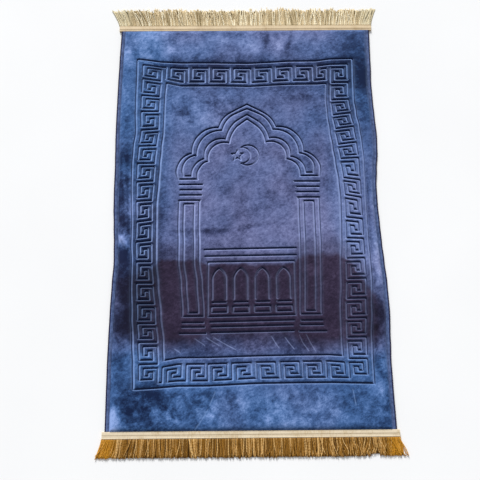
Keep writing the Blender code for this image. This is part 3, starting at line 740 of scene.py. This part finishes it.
# How mottled the nap is: middle, half sizes and share of each rough patch.
MOTTLED = (
    (-322, -60, 22, 320, 0.6),
    (-250, -500, 90, 60, 0.6),
    (40, -500, 330, 50, 0.45),
    (-250, 500, 110, 60, 0.3),
    (60, 500, 240, 50, 0.2),
    (-120, 300, 110, 60, 0.5),
    (320, -300, 24, 240, 0.5),
    (-262, 100, 30, 330, 0.4),
)
EVEN_NAP = 0.35  # of it everywhere else

# The painted shadow band across the rug: places across, its upper edge there and over what length
# that fades, its lower edge, and how dark it is.
SHADOW_BAND = (
    (-345, -160, 24, -330, 0.62),
    (-300, -150, 24, -330, 0.75),
    (-238, -126, 20, -345, 0.95),
    (-228, -112, 20, -350, 1),
    (-130, -110, 22, -345, 1),
    (-108, -130, 12, -332, 1),
    (108, -130, 14, -332, 1),
    (130, -98, 28, -350, 1),
    (228, -88, 32, -350, 1),
    (262, -108, 40, -345, 1),
    (310, -190, 36, -345, 1),
    (345, -235, 30, -335, 0.5),
)
SHADOW_BAND_SOFT = 60  # over what length its lower edge fades
FAINT_SHADOW_REACH, FAINT_SHADOW_SHARE = 36, 0.5  # a fainter painted shadow above the band

# Hue: how violet the blue is, along the rug and the change across it.
VIOLET_ALONG = ((-560, 0), (-400, 0.22), (-350, 0.85), (-200, 1), (0, 0.97),
                (200, 0.68), (400, 0.42), (560, 0.66))
VIOLET_ACROSS = ((-330, -0.56), (-263, -0.66), (-190, -0.18), (-80, 0), (200, 0),
                 (263, -0.34), (330, -0.34))


def drift(p, size, seed):
    """A smooth random value at each point, about -0.7 to 0.7."""
    return np.array([noise.noise((x / size, y / size, seed)) for x, y in p])


def brushed_with_fold_light(p):
    """Tone of the nap, with painted light and shade of folds, at points where the cloth lies: 0 is
    even, 1 light and -1 dark.
    """
    tone = np.zeros(len(p))
    ragged = NAP_RAGGED * (drift(p, size=38, seed=3.7) + 0.7 * drift(p, size=13, seed=5.1))
    for row in STROKES:
        stroke = dict(zip(STROKE_COLUMNS, row))
        turn = math.radians(stroke["turn"])
        off = p - np.array([stroke["x"], stroke["y"]])
        along = (off[:, 0] * math.cos(turn) + off[:, 1] * math.sin(turn)) / stroke["long"]
        across = (off[:, 1] * math.cos(turn) - off[:, 0] * math.sin(turn)) / stroke["wide"]
        reach = np.clip(along**2 + across**2 + ragged, 0, None)
        tone += stroke["tone"] * np.exp(-(reach**1.2))
    return tone


def mottled(p):
    """How blotchy the nap is."""
    out = np.full(len(p), EVEN_NAP)
    for x, y, half_x, half_y, share in MOTTLED:
        reach = ((p[:, 0] - x) / half_x) ** 2 + ((p[:, 1] - y) / half_y) ** 2
        out += share * np.exp(-(reach**2))
    return out


def shadow_band(p):
    """How much of the painted shadow band shows: a cast shadow painted into the pile's colour."""
    across, upper, sharp, lower, painted_shade = np.array(SHADOW_BAND).T
    y = p[:, 1] + 7 * drift(p, size=26, seed=8.1) + 4 * drift(p, size=9, seed=2.3)
    below = np.interp(p[:, 0], across, upper) - y
    above = y - np.interp(p[:, 0], across, lower)
    start = np.clip(below / np.interp(p[:, 0], across, sharp), 0, 1)
    stop = np.clip(above / SHADOW_BAND_SOFT + 0.5, 0, 1)
    full = start**2 * (3 - 2 * start) * stop**2 * (3 - 2 * stop)
    shadow = FAINT_SHADOW_SHARE * np.clip(1 + below / FAINT_SHADOW_REACH, 0, 1) * stop
    return np.maximum(full, shadow) * np.interp(p[:, 0], across, painted_shade)


def violet(p):
    """How violet the cloth's blue is."""
    along = np.interp(p[:, 1], *np.array(VIOLET_ALONG).T)
    across = np.interp(p[:, 0], *np.array(VIOLET_ACROSS).T)
    return np.clip(along + across + 0.3 * drift(p, size=70, seed=6.6), 0, 1)


# ---- Tubes and tapes ----------------------------------------------------------------------
def tube_faces(many, steps, sides):
    """Faces of many closed tubes whose points are numbered tube by tube and ring by ring."""
    index = np.arange(many * steps * sides).reshape(many, steps, sides)
    turned = np.roll(index, -1, axis=2)
    walls = np.stack([index[:, :-1], turned[:, :-1], turned[:, 1:], index[:, 1:]], axis=-1)
    faces = walls.reshape(-1, 4).tolist() + index[:, 0, ::-1].tolist() + index[:, -1].tolist()
    return [tuple(face) for face in faces]


def tubes(paths, radius, sides):
    """Closed tubes along paths of equally many steps. radius has a value for each step."""
    way = np.gradient(paths, axis=1)
    way /= np.linalg.norm(way, axis=2)[..., None]
    across = np.cross(way, [0.0, 0.0, 1.0])
    across /= np.linalg.norm(across, axis=2)[..., None]
    up = np.cross(across, way)
    turns = 2 * math.pi * np.arange(sides) / sides
    rim = across[:, :, None] * np.cos(turns)[:, None] + up[:, :, None] * np.sin(turns)[:, None]
    points = paths[:, :, None] + rim * np.asarray(radius)[:, None, None]
    return points.reshape(-1, 3), tube_faces(*paths.shape[:2], sides)


def joined(*parts):
    """Several (points, faces) as one, with the number of the part that each face is from."""
    points, faces, owner = [], [], []
    shift = 0
    for number, (part_points, part_faces) in enumerate(parts):
        points.append(part_points)
        faces += [tuple(shift + i for i in f) for f in part_faces]
        owner += [number] * len(part_faces)
        shift += len(part_points)
    return np.vstack(points), faces, owner


def nose(outer, swell):
    """The round outer edge of a folded tape, from below to above, as (u, z)."""
    radius = TAPE_TOP / 2
    turns = np.linspace(-math.pi / 2, math.pi / 2, NOSE_STEPS)
    out = outer - radius + (radius + swell) * np.cos(turns)
    return list(zip(out, radius + radius * np.sin(turns)))


def folded_tape(outer, inner, lap_end, swell, dips):
    """Section of a tape folded over an edge. dips are (place, depth) of its sewn lines."""
    upper = []
    start, stop = outer - TAPE_TOP / 2 - 0.4, inner + 0.5
    for u in np.linspace(start, stop, TAPE_STEPS):
        sunk = sum(deep * max(0.0, 1 - abs(u - at) / 1.1) for at, deep in dips)
        share = (u - stop) / (start - stop)
        upper.append((u, TAPE_TOP - sunk - CROWN + CROWN * math.sin(math.pi * share)))
    return nose(outer, swell) + upper + [
        (inner, TAPE_TOP - 0.6), (inner, TAPE_TOP - TAPE), (lap_end, TAPE_TOP - TAPE),
        (lap_end, TAPE), (inner, TAPE), (inner, 0.0),
    ]


def swept(section, stations, place):
    """A closed solid: a section of (u, z) at each station, laid by a rule."""
    rings = [place(station, np.array(section(station))) for station in stations]
    return np.vstack(rings), tube_faces(1, len(rings), len(rings[0]))


def stitches(starts, ends, radius):
    """A short rounded rod from each start to its end."""
    span = ends - starts
    way = span / np.linalg.norm(span, axis=1)[:, None]
    share, past, wide = np.array(STITCH_RINGS).T[..., None]
    paths = starts[:, None] + span[:, None] * share + way[:, None] * past * radius
    return tubes(paths, wide[:, 0] * radius, STITCH_SIDES)


def seam_stitches(reach, place, pitch, long, radius):
    """A row of stitches along a tape. place gives the points of its seam."""
    starts = np.arange(-reach, reach, pitch)
    return stitches(place(starts), place(starts + long), radius)


def binding_mesh(side):
    """The tape along one long side, oversewn on its outer edge. side is -1 or 1."""
    reach = float(ring_at(0.0)[:, 1].max())
    seam = WIDTH / 2 - BINDING + BINDING_SEAM

    def section(y):
        swell = OVERSEWN_SWELL * (abs(math.sin(math.pi * y / OVERSEWN_PITCH)) - 1)
        return folded_tape(WIDTH / 2, WIDTH / 2 - BINDING, WIDTH / 2 - TAPE, swell, ((seam, 0.5),))

    def place(y, ring):
        x, laid_y, _ = lying(side * ring[:, 0], np.full(len(ring), y))
        return np.column_stack([x, laid_y, ring[:, 1]])

    def sewn_at(y):
        x, laid_y, _ = lying(np.full(len(y), side * seam), y)
        return np.column_stack([x, laid_y, np.full(len(y), TAPE_TOP - 0.4)])

    tape = swept(section, np.linspace(-reach, reach, BINDING_STEPS), place)
    return joined(tape, seam_stitches(reach - 4, sewn_at, **BINDING_STITCH))


def heading_mesh(fringe):
    """The woven tape over one short end, with its row of stitches."""
    away = fringe["away"]
    seam, outer = LENGTH / 2 + fringe["seam"], LENGTH / 2 + HEADING
    dips = ((seam, 0.9), (outer - 4.2, 0.35))

    def section(x):
        swell = RIB * math.sin(x / 1.3)
        return folded_tape(outer, LENGTH / 2, LENGTH / 2 + LAP + GAP, swell, dips)

    def place(x, ring):
        rib = RIB * math.sin(x * math.pi / RIB_PITCH) * (ring[:, 1] > TAPE_TOP / 2)
        return np.column_stack([np.full(len(ring), x), away * ring[:, 0], ring[:, 1] + rib])

    def sewn_at(x):
        return np.column_stack([x, np.full(len(x), away * seam), np.full(len(x), TAPE_TOP - 0.75)])

    tape = swept(section, np.linspace(-HALF_FRINGE, HALF_FRINGE, HEADING_STEPS), place)
    return joined(tape, seam_stitches(HALF_FRINGE - 5, sewn_at, **HEADING_STITCH))


# ---- Strands ------------------------------------------------------------------------------
def hump(x, middle, wide):
    """1 at the middle, and softly less on both sides."""
    return np.exp(-(((x - middle) / wide) ** 2))


def lean(x, fringe):
    """How far a strand's tip leans sideways: the outer ones fan out."""
    out = np.clip((np.abs(x) / HALF_FRINGE - FAN_FROM) / (1 - FAN_FROM), 0, None) ** 2
    return np.where(x < 0, *fringe["fan"]) * out + fringe["swept"] * hump(x, SWEPT_AT, SWEPT_WIDE)


def strand_paths(x0, tip, long, high, wave, steps, away, rng):
    """Middle lines of strands that leave the heading, drop onto the floor and lie on it."""
    t = np.linspace(0, 1, steps)[None]
    count = len(x0)
    phase = rng.uniform(0, 2 * math.pi, (count, 1))
    bends = rng.uniform(1.0, 2.2, (count, 1))
    x = x0[:, None] + tip[:, None] * t**1.35
    x = x + wave[:, None] * np.sin(phase + bends * math.pi * t) * t
    root = LENGTH / 2 + HEADING - 1.5
    y = root + (long[:, None] + 1.5) * t
    drop = np.clip(t / DROP, 0, 1)
    drop = drop * drop * (3 - 2 * drop)
    z = high[:, 0, None] * (1 - drop) + high[:, 1, None] * drop
    return np.stack([x, y * away, z], axis=2)


def under_row(fringe, middles, lock_long, rng):
    """A row of flat strands, two to a lock, which the yarns lie on."""
    lock = np.repeat(np.arange(len(middles)), 2)
    quarter = HALF_FRINGE / len(middles) / 2
    x0 = middles[lock] + np.tile([-quarter, quarter], len(middles))
    count = len(x0)
    tip = lean(x0, fringe) + rng.normal(0, 0.8, count)
    high = np.tile(UNDER_HEIGHTS, (count, 1))
    paths = strand_paths(x0, tip, 0.98 * lock_long[lock], high, np.full(count, 0.5), UNDER_STEPS,
                         fringe["away"], rng)
    points, faces = tubes(paths, np.full(UNDER_STEPS, UNDER_RADIUS), UNDER_SIDES)
    middle = np.repeat(paths[..., 0].ravel(), UNDER_SIDES)
    points[:, 0] = middle + (points[:, 0] - middle) * UNDER_WIDE
    return points, faces


def yarns_mesh(fringe, rng):
    """All strands of one fringe: the under row, and twisted yarns in locks above it."""
    locks, uneven = fringe["locks"], fringe["uneven"]
    middles = -HALF_FRINGE + 2 * HALF_FRINGE / locks * (np.arange(locks) + 0.5)
    loose = 1 + fringe["ruffled"] * np.clip((middles - RUFFLED_FROM) / RUFFLED_OVER, 0, 1)
    lock_lean = lean(middles, fringe) + loose * rng.normal(0, fringe["lock_lean"], locks)
    lock_long = fringe["long"] * (1 + rng.normal(0, uneven, locks))
    lock_long -= fringe["bay"] * hump(middles, BAY_AT, BAY_WIDE)
    low = under_row(fringe, middles, lock_long, rng)

    many = len(fringe["places"])
    lock = np.repeat(np.arange(locks), many)
    spread = np.tile(fringe["places"], locks)
    count = len(lock)
    level = np.tile(YARN_LEVEL + LEVEL_APART * (np.arange(many) % 2), locks)
    level = level + rng.normal(0, 0.25, count)
    stray = rng.random(count) < fringe["strays"]
    aside = rng.choice([-1.0, 1.0], count) * rng.uniform(0.4, 1, count) * fringe["stray_far"]
    tip = lock_lean[lock] - 0.2 * spread + stray * aside
    tip += loose[lock] * rng.normal(0, fringe["lean"], count)
    high = np.column_stack([YARN_ROOT + 0.3 * (level - 2.4), level + 1.3 * stray])
    long = lock_long[lock] * (1 + rng.normal(0, uneven, count)) - 4 * stray
    wave = loose[lock] * rng.uniform(0.5, fringe["wavy"], count)
    paths = strand_paths(middles[lock] + spread, tip, long, high, wave, YARN_STEPS,
                         fringe["away"], rng)
    t = np.linspace(0, 1, YARN_STEPS)
    first = rng.uniform(0, 2 * math.pi, count)[:, None]
    plies = []
    for ply in range(YARN_PLIES):
        turn = first + 2 * math.pi * (long[:, None] * t / TWIST_LONG + ply / YARN_PLIES)
        apart = PLY_RADIUS * 0.82 * (1 + 0.5 * t**6)
        plies.append(paths + np.stack([apart * np.cos(turn), 0 * turn, apart * np.sin(turn)], axis=2))
    high_yarns = tubes(np.concatenate(plies), PLY_RADIUS * (1 - 0.25 * t**8), PLY_SIDES)
    points, faces, _ = joined(low, high_yarns)
    points[:, 2] = np.maximum(points[:, 2], 0.05)

    lock_shade = rng.normal(0.0, fringe["lock_tone"], locks)
    # The under row is painted darker: painted shade beneath the yarns above it.
    shade_low = np.repeat(rng.uniform(0.15, 0.45, 2 * locks), UNDER_STEPS * UNDER_SIDES)
    shade = np.clip(0.55 + lock_shade[lock] + rng.normal(0, 0.27, count) + 0.3 * stray, 0, 1)
    shade_high = np.repeat(np.tile(shade, YARN_PLIES), YARN_STEPS * PLY_SIDES)
    return points, faces, np.concatenate([shade_low, shade_high])


# ---- Objects ------------------------------------------------------------------------------
def link_new(name, data):
    made = bpy.data.objects.new(name, data)
    bpy.context.scene.collection.objects.link(made)
    return made


def add(name, points, faces, finishes, finish_of=None):
    """One named object from points in millimetres."""
    mesh = bpy.data.meshes.new(name)
    mesh.from_pydata((np.asarray(points) * MM).tolist(), [], faces)
    for finish in finishes:
        mesh.materials.append(finish)
    if finish_of is not None:
        mesh.polygons.foreach_set("material_index", np.array(finish_of, np.int32))
    mesh.shade_smooth()
    turn_outwards(mesh)
    return link_new(name, mesh)


def turn_outwards(mesh):
    shape = bmesh.new()
    shape.from_mesh(mesh)
    bmesh.ops.recalc_face_normals(shape, faces=shape.faces)
    if shape.calc_volume(signed=True) < 0:
        bmesh.ops.reverse_faces(shape, faces=shape.faces)
    shape.to_mesh(mesh)
    shape.free()


def mark(obj, name, values):
    """Stores one number for each point of the mesh, which its material reads by this name."""
    layer = obj.data.attributes.new(name, "FLOAT", "POINT")
    layer.data.foreach_set("value", np.asarray(values, np.float32))


# ---- Materials ----------------------------------------------------------------------------
class Value:
    """A number that a node puts out, for sums with other values and plain numbers."""

    def __init__(self, shader, socket):
        self.shader, self.socket = shader, socket

    def __add__(self, other):
        return self.shader.math("ADD", self, other)

    def __sub__(self, other):
        return self.shader.math("SUBTRACT", self, other)

    def __mul__(self, other):
        return self.shader.math("MULTIPLY", self, other)

    def or_more(self, other):
        return self.shader.math("MAXIMUM", self, other)

    def clamped(self):
        return self.shader.math("ADD", self, 0, clamp=True)

    def between(self, low, high):
        """0 to 1 as the value goes from low to high."""
        made = self.shader.node("ShaderNodeMapRange", interpolation_type="SMOOTHSTEP")
        self.shader.feed(made, Value=self, From_Min=low, From_Max=high)
        return Value(self.shader, made.outputs["Result"])


class Shader:
    """A material under construction: short ways to add and link its nodes."""

    def __init__(self, name, roughness, **settings):
        self.material = bpy.data.materials.new(name)
        self.material.use_nodes = True
        self.tree = self.material.node_tree
        self.main = self.tree.nodes["Principled BSDF"]
        self.feed(self.main, Roughness=roughness, **settings)
        self.place = self.node("ShaderNodeTexCoord").outputs

    def node(self, kind, **settings):
        made = self.tree.nodes.new(kind)
        for name, value in settings.items():
            setattr(made, name, value)
        return made

    def feed(self, node, **sources):
        """Gives each named input of a node a number, a colour, a vector or a link."""
        for name, source in sources.items():
            name = name.replace("_", " ")
            socket = next(s for s in node.inputs if s.enabled and s.name == name)
            self.plug(source, socket)

    def plug(self, source, socket):
        if isinstance(source, Value):
            self.tree.links.new(source.socket, socket)
        elif isinstance(source, bpy.types.NodeSocket):
            self.tree.links.new(source, socket)
        elif socket.type == "RGBA":
            socket.default_value = (*source, 1.0)
        else:
            socket.default_value = source

    def attribute(self, name):
        return Value(self, self.node("ShaderNodeAttribute", attribute_name=name).outputs["Fac"])

    def noise(self, scale, detail=2.0, rough=0.5, swirl=0.0, long=1.0, turn=0.0):
        """Noise whose shapes are this many times as long as wide, at an angle in degrees."""
        mapping = self.node("ShaderNodeMapping", vector_type="TEXTURE")
        self.feed(mapping, Vector=self.place["Object"], Scale=(long, 1.0, 1.0),
                  Rotation=(0.0, 0.0, math.radians(turn)))
        made = self.node("ShaderNodeTexNoise")
        self.feed(made, Vector=mapping.outputs["Vector"], Scale=scale, Detail=detail,
                  Roughness=rough, Distortion=swirl)
        return Value(self, made.outputs["Fac"])

    def math(self, operation, *values, clamp=False):
        made = self.node("ShaderNodeMath", operation=operation, use_clamp=clamp)
        for socket, value in zip(made.inputs, values):
            self.plug(value, socket)
        return Value(self, made.outputs[0])

    def part(self, of, axis):
        """X, Y or Z of the place on the object, or of the way that its surface faces."""
        split = self.node("ShaderNodeSeparateXYZ")
        self.feed(split, Vector=self.place[of])
        return Value(self, split.outputs[axis])

    def side(self):
        """-1 in the rug's left half and 1 in its right half, with a short passage between."""
        return (self.part("Object", "X") * 25 + 0.5).clamped() * 2 - 1

    def facing(self):
        """0 where the surface faces the eye, 1 where it is seen edge on."""
        return Value(self, self.node("ShaderNodeLayerWeight").outputs["Facing"])

    def ramp(self, value, stops):
        made = self.node("ShaderNodeValToRGB")
        self.feed(made, Fac=value)
        ends = made.color_ramp.elements
        while len(ends) < len(stops):
            ends.new(0.5)
        for end, (at, colour) in zip(ends, stops):
            end.position = at
            end.color = (*colour, 1.0)
        return made.outputs["Color"]

    def mix(self, share, a, b):
        made = self.node("ShaderNodeMix", data_type="RGBA")
        self.feed(made, Factor=share, A=a, B=b)
        return next(s for s in made.outputs if s.enabled)

    def finish(self, colour, height=None, strength=0.0, distance=0.0):
        """The material, with this colour and bumps from this height."""
        self.feed(self.main, Base_Color=colour)
        if height is not None:
            made = self.node("ShaderNodeBump")
            self.feed(made, Height=height, Strength=strength, Distance=distance)
            self.feed(self.main, Normal=made.outputs["Normal"])
        return self.material


def weighed(*terms):
    """The sum of (noise, gain) pairs, each noise about its middle and times its gain."""
    first, *rest = ((noise - 0.5) * gain for noise, gain in terms)
    return sum(rest, first)


MIDNIGHT = (0.010, 0.018, 0.055)
NAVY = (0.028, 0.050, 0.130)
STEEL = (0.125, 0.180, 0.370)
PLUM = (0.012, 0.010, 0.045)
LAVENDER_HIGHLIGHT = (0.350, 0.400, 0.680)
PALE_BLUE_HIGHLIGHT = (0.215, 0.350, 0.650)
BROWN = (0.3, 0.17, 0.07)

# The velvet's colours from its darkest to its lightest nap: where it is blue, where it is more
# violet, and in the painted shadow band.
BLUES = (
    (0.04, (0.005, 0.014, 0.052)),
    (0.30, (0.021, 0.055, 0.152)),
    (0.50, (0.052, 0.124, 0.308)),
    (0.70, (0.125, 0.225, 0.480)),
    (0.94, (0.280, 0.400, 0.740)),
)
VIOLETS = (
    (0.06, (0.016, 0.018, 0.055)),
    (0.30, (0.044, 0.052, 0.128)),
    (0.50, (0.112, 0.128, 0.270)),
    (0.70, (0.190, 0.212, 0.410)),
    (0.94, (0.330, 0.365, 0.620)),
)
SHADOW_COLOURS = (
    (0.08, (0.008, 0.005, 0.013)),
    (0.30, (0.016, 0.011, 0.027)),
    (0.50, (0.028, 0.019, 0.044)),
    (0.70, (0.052, 0.038, 0.079)),
    (0.94, (0.095, 0.080, 0.142)),
)

# Each fringe's colours: its tape's light and dark, how much painted shade lies along its sewn line;
# its yarn's from deep to light; and the colour of its glowing ends, how strong that is and from which
# x. Both fringes are one yarn and one tape: the far yarn is lighter as painted sheen, the near yarn
# darker as painted shade, and the far tape darker as painted shade.
FRINGE_LOOKS = {
    "top": {
        "tape": "cream_tape_far", "satin": (0.66, 0.51, 0.31), "dark_satin": (0.46, 0.31, 0.14),
        "sewn": 0.85, "yarn": "gold_yarn_far_sheen", "deep": (0.24, 0.17, 0.06),
        "body": (0.74, 0.59, 0.35), "light": (1.0, 0.92, 0.70),
        "glow": (0.72, 0.66, 0.46), "glowing": 0.5, "glow_from": 315,
    },
    "bottom": {
        "tape": "cream_tape_near", "satin": (0.74, 0.62, 0.44), "dark_satin": (0.53, 0.38, 0.19),
        "sewn": 0.5, "yarn": "gold_yarn_near_shade", "deep": (0.11, 0.048, 0.006),
        "body": (0.37, 0.170, 0.018), "light": (0.84, 0.55, 0.22),
        "glow": (0.72, 0.34, 0.02), "glowing": 0.65, "glow_from": 318,
    },
}
GLOW_OVER = 22  # over what length the glow grows


def times(factor, colour):
    return tuple(min(1.0, factor * c) for c in colour)


def velvet():
    """Short brushed pile: tone by the way it lies, a painted shadow band, painted shade and
    highlights on the pressed lines, and painted sheen where it is seen at a slant.
    """
    made = Shader("blue_velvet", 0.85, Sheen_Weight=0.2, Sheen_Roughness=0.4,
                  Sheen_Tint=(0.62, 0.68, 0.95), Specular_IOR_Level=0.1)
    marks = ("nap_and_fold_light", "mottled", "violet", "shadow_band", "wall", "light")
    nap_and_fold_light, patches, hue, shadow, wall, bottom_light_and_shade = map(made.attribute, marks)
    pile = made.noise(700, 2, 0.6)
    streak = made.noise(60, 3, 0.6, 0.6, long=1.8, turn=20)
    fine = made.noise(190, 2, 0.7, 0.4, long=1.8, turn=28)
    blotch = patches * (made.noise(24, 7, 0.74, 0.3).between(0.28, 0.72) - 0.5)
    tone = nap_and_fold_light * 0.34 + 0.5 + blotch * 0.60 + weighed(
        (made.noise(8, 4, 0.6, 0.3), 0.40), (streak, 0.28), (fine, 0.42),
        (made.noise(130, 3, 0.65), 0.45), (pile, 0.40),
    )
    colour = made.mix(hue, made.ramp(tone, BLUES), made.ramp(tone, VIOLETS))
    # Painted shadow: inside the band the colours turn to its dark shadow tones.
    colour = made.mix(shadow, colour, made.ramp(tone, SHADOW_COLOURS))

    # Painted shade: walls of the pressed lines that face the near end or the rug's middle, and the
    # bottoms of lines across, are darkened, less inside the painted shadow.
    along, inwards = made.part("Normal", "Y"), made.part("Normal", "X") * wall * made.side()
    painted_shade = (along * (wall * 0.8 + 0.2)).between(-0.03, -0.34) * (shadow * -0.45 + 1)
    flank = inwards.between(-0.06, -0.36) * (shadow * -0.45 + 0.72)
    colour = made.mix(painted_shade.or_more(bottom_light_and_shade * -1).or_more(flank), colour, MIDNIGHT)

    # Painted light: walls facing the key light, walls facing the rug's sides, the bottoms of lines
    # along the rug and pile seen at a slant are lightened as painted highlight and painted sheen;
    # scratches are lighter where the pile is parted.
    slant = made.facing().between(0.20, 0.60) * (wall * 0.75 + 0.2)
    near_wall = (along * wall).between(0.05, 0.40) * 0.36
    inner_wall = inwards.between(0.04, 0.34) * 0.80
    bottom = bottom_light_and_shade * inwards.between(-0.42, -0.12)
    light = slant.or_more(near_wall).or_more(inner_wall).or_more(bottom)
    light = light * (shadow * -0.70 + 1) * (streak * 1.2 + 0.4)
    colour = made.mix(light, colour, made.mix(hue, PALE_BLUE_HIGHLIGHT, LAVENDER_HIGHLIGHT))
    return made.finish(colour, weighed((streak, 0.6), (pile, 0.5)), 0.5, 0.0012)


def backing():
    """The plain woven underside and the cut edge."""
    made = Shader("dark_backing", 0.9)
    weave = made.noise(650)
    return made.finish(made.ramp(weave, ((0.3, MIDNIGHT), (0.7, NAVY))), weave, 0.4, 0.0005)


def binding_tape():
    """Blue tape, darker and more purple round its oversewn outer edge."""
    made = Shader("blue_tape", 0.8, Specular_IOR_Level=0.2)
    top = made.ramp(made.noise(120, 3), ((0.25, NAVY), (0.75, STEEL)))
    colour = made.mix(made.attribute("outer"), top, PLUM)
    return made.finish(colour, made.noise(900, 1, long=2.5, turn=90), 0.5, 0.0006)


def thread(name, colour):
    made = Shader(name, 0.6)
    return made.finish(made.ramp(made.noise(800), ((0.3, times(0.6, colour)), (0.7, colour))))


def heading_tape(look):
    """Ribbed satin tape, with painted shade along the dip of its sewn line."""
    made = Shader(look["tape"], 0.55, Sheen_Weight=0.25, Sheen_Roughness=0.4)
    rib = made.noise(700, 2, long=8, turn=90)
    tone = rib * 0.45 + made.noise(28, 3, 0.6) * 0.55
    satin, dark_satin = look["satin"], look["dark_satin"]
    colour = made.ramp(tone, ((0.3, dark_satin), (0.5, satin), (0.75, times(1.12, satin))))
    # Painted shade in the dip along the sewn line.
    colour = made.mix(made.attribute("sewn"), colour, times(0.55, dark_satin))
    return made.finish(colour, rib, 0.5, 0.0006)


def yarn(look):
    """Satiny twisted yarn: each strand has its own tone, the under row is painted darker as shade
    beneath the yarns, and the outermost ones glow.
    """
    made = Shader(look["yarn"], 0.55, Specular_IOR_Level=0.3)
    fine = (made.noise(420) - 0.5) * 0.5
    deep, body = look["deep"], look["body"]
    middle = tuple((a + b) / 2 for a, b in zip(deep, body))
    stops = ((0.0, deep), (0.3, middle), (0.6, body), (1.0, look["light"]))
    colour = made.ramp((made.attribute("shade") + fine).clamped(), stops)
    colour = made.mix(made.attribute("glow"), colour, look["glow"])
    return made.finish(colour, fine, 0.4, 0.0004)


# ---- The pieces ---------------------------------------------------------------------------
def make_body(rng):
    points, faces, finish, marks = cloth_mesh(rng)
    body = add("cloth", points, faces, (velvet(), backing()), finish)
    for name, rule in (("nap_and_fold_light", brushed_with_fold_light), ("shadow_band", shadow_band), ("violet", violet), ("mottled", mottled)):
        marks[name] = rule(points[:, :2])
    for name, values in marks.items():
        mark(body, name, values)
    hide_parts("rug_body")
    return body


def make_binding(side, name):
    points, faces, owner = binding_mesh(side)
    tape = add(f"tape_{name}", points, faces, (binding_tape(), thread("blue_thread", NAVY)), owner)
    edge = lying(np.full(len(points), side * WIDTH / 2), points[:, 1])[0]
    mark(tape, "outer", np.clip((OVERSEWN - side * (edge - points[:, 0])) / 1.2, 0, 1))
    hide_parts(f"binding_{name}")
    return [tape]


def make_fringe(name, rng):
    fringe, look = FRINGES[name], FRINGE_LOOKS[name]
    points, faces, owner = heading_mesh(fringe)
    finishes = (heading_tape(look), thread(f"brown_thread_{name}", BROWN))
    heading = add(f"heading_{name}", points, faces, finishes, owner)
    beside_seam = np.abs(np.abs(points[:, 1]) - LENGTH / 2 - fringe["seam"])
    mark(heading, "sewn", look["sewn"] * np.clip(1 - beside_seam / 1.6, 0, 1))

    points, faces, shade = yarns_mesh(fringe, rng)
    strands = add(f"strands_{name}", points, faces, (yarn(look),))
    mark(strands, "shade", shade)
    ends = np.clip((np.abs(points[:, 0]) - look["glow_from"]) / GLOW_OVER, 0, 1)
    mark(strands, "glow", look["glowing"] * ends)
    for piece in (heading, strands):
        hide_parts(f"fringe_{name}")
    return [heading, strands]


# ---- Camera, light and floor --------------------------------------------------------------
CAMERA_AT = (-0.0356, -0.6729, 1.8742)
CAMERA_TO = (-0.0216, -0.0702, 0.0)
CAMERA_ROLL = -0.0101
CAMERA_LENS = 57.09
FLOOR_HALF, FLOOR_LOW = 6.0, -0.0002  # in metres
SKY, SKY_STRENGTH = (0.95, 0.97, 1.0, 1.0), 0.455
KEY_WAY, KEY_STRENGTH, KEY_SPREAD = (0.17, -0.85, -0.52), 3.75, 20.0  # spread in degrees


def make_camera():
    data = bpy.data.cameras.new("camera")
    data.lens = CAMERA_LENS
    data.sensor_width = 36.0
    camera = link_new("camera", data)
    back = (Vector(CAMERA_AT) - Vector(CAMERA_TO)).normalized()
    right = Vector((0, 1, 0)).cross(back).normalized()
    level = Matrix((right, back.cross(right), back)).transposed().to_4x4()
    roll = Matrix.Rotation(CAMERA_ROLL, 4, "Z")
    camera.matrix_world = Matrix.Translation(CAMERA_AT) @ level @ roll
    bpy.context.scene.camera = camera


def make_floor():
    mesh = bpy.data.meshes.new("floor")
    corners = rectangle(-FLOOR_HALF, FLOOR_HALF, -FLOOR_HALF, FLOOR_HALF)
    mesh.from_pydata([(x, y, FLOOR_LOW) for x, y in corners], [], [(0, 1, 2, 3)])
    made = Shader("pale_floor", 0.8)
    colour = made.ramp(made.noise(3.0), ((0.3, (0.90, 0.90, 0.90)), (0.7, (0.92, 0.92, 0.92))))
    mesh.materials.append(made.finish(colour))
    link_new("floor", mesh)


def make_light():
    world = bpy.data.worlds.new("world")
    world.use_nodes = True
    sky = world.node_tree.nodes["Background"].inputs
    sky["Color"].default_value = SKY
    sky["Strength"].default_value = SKY_STRENGTH
    bpy.context.scene.world = world
    data = bpy.data.lights.new("key", "SUN")
    data.energy, data.angle = KEY_STRENGTH, math.radians(KEY_SPREAD)
    link_new("key", data).rotation_euler = Vector(KEY_WAY).to_track_quat("-Z", "Y").to_euler()
    settings = bpy.context.scene.view_settings
    settings.view_transform = "Standard"
    settings.exposure = 0.0


def main():
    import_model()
    rng = np.random.default_rng(SEED)
    make_camera()
    body = make_body(rng)
    trims = make_binding(-1, "left") + make_binding(1, "right")
    trims += make_fringe("top", rng) + make_fringe("bottom", rng)
    for piece in [body] + trims:
        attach(piece, "root")
    make_floor()
    make_light()


main()
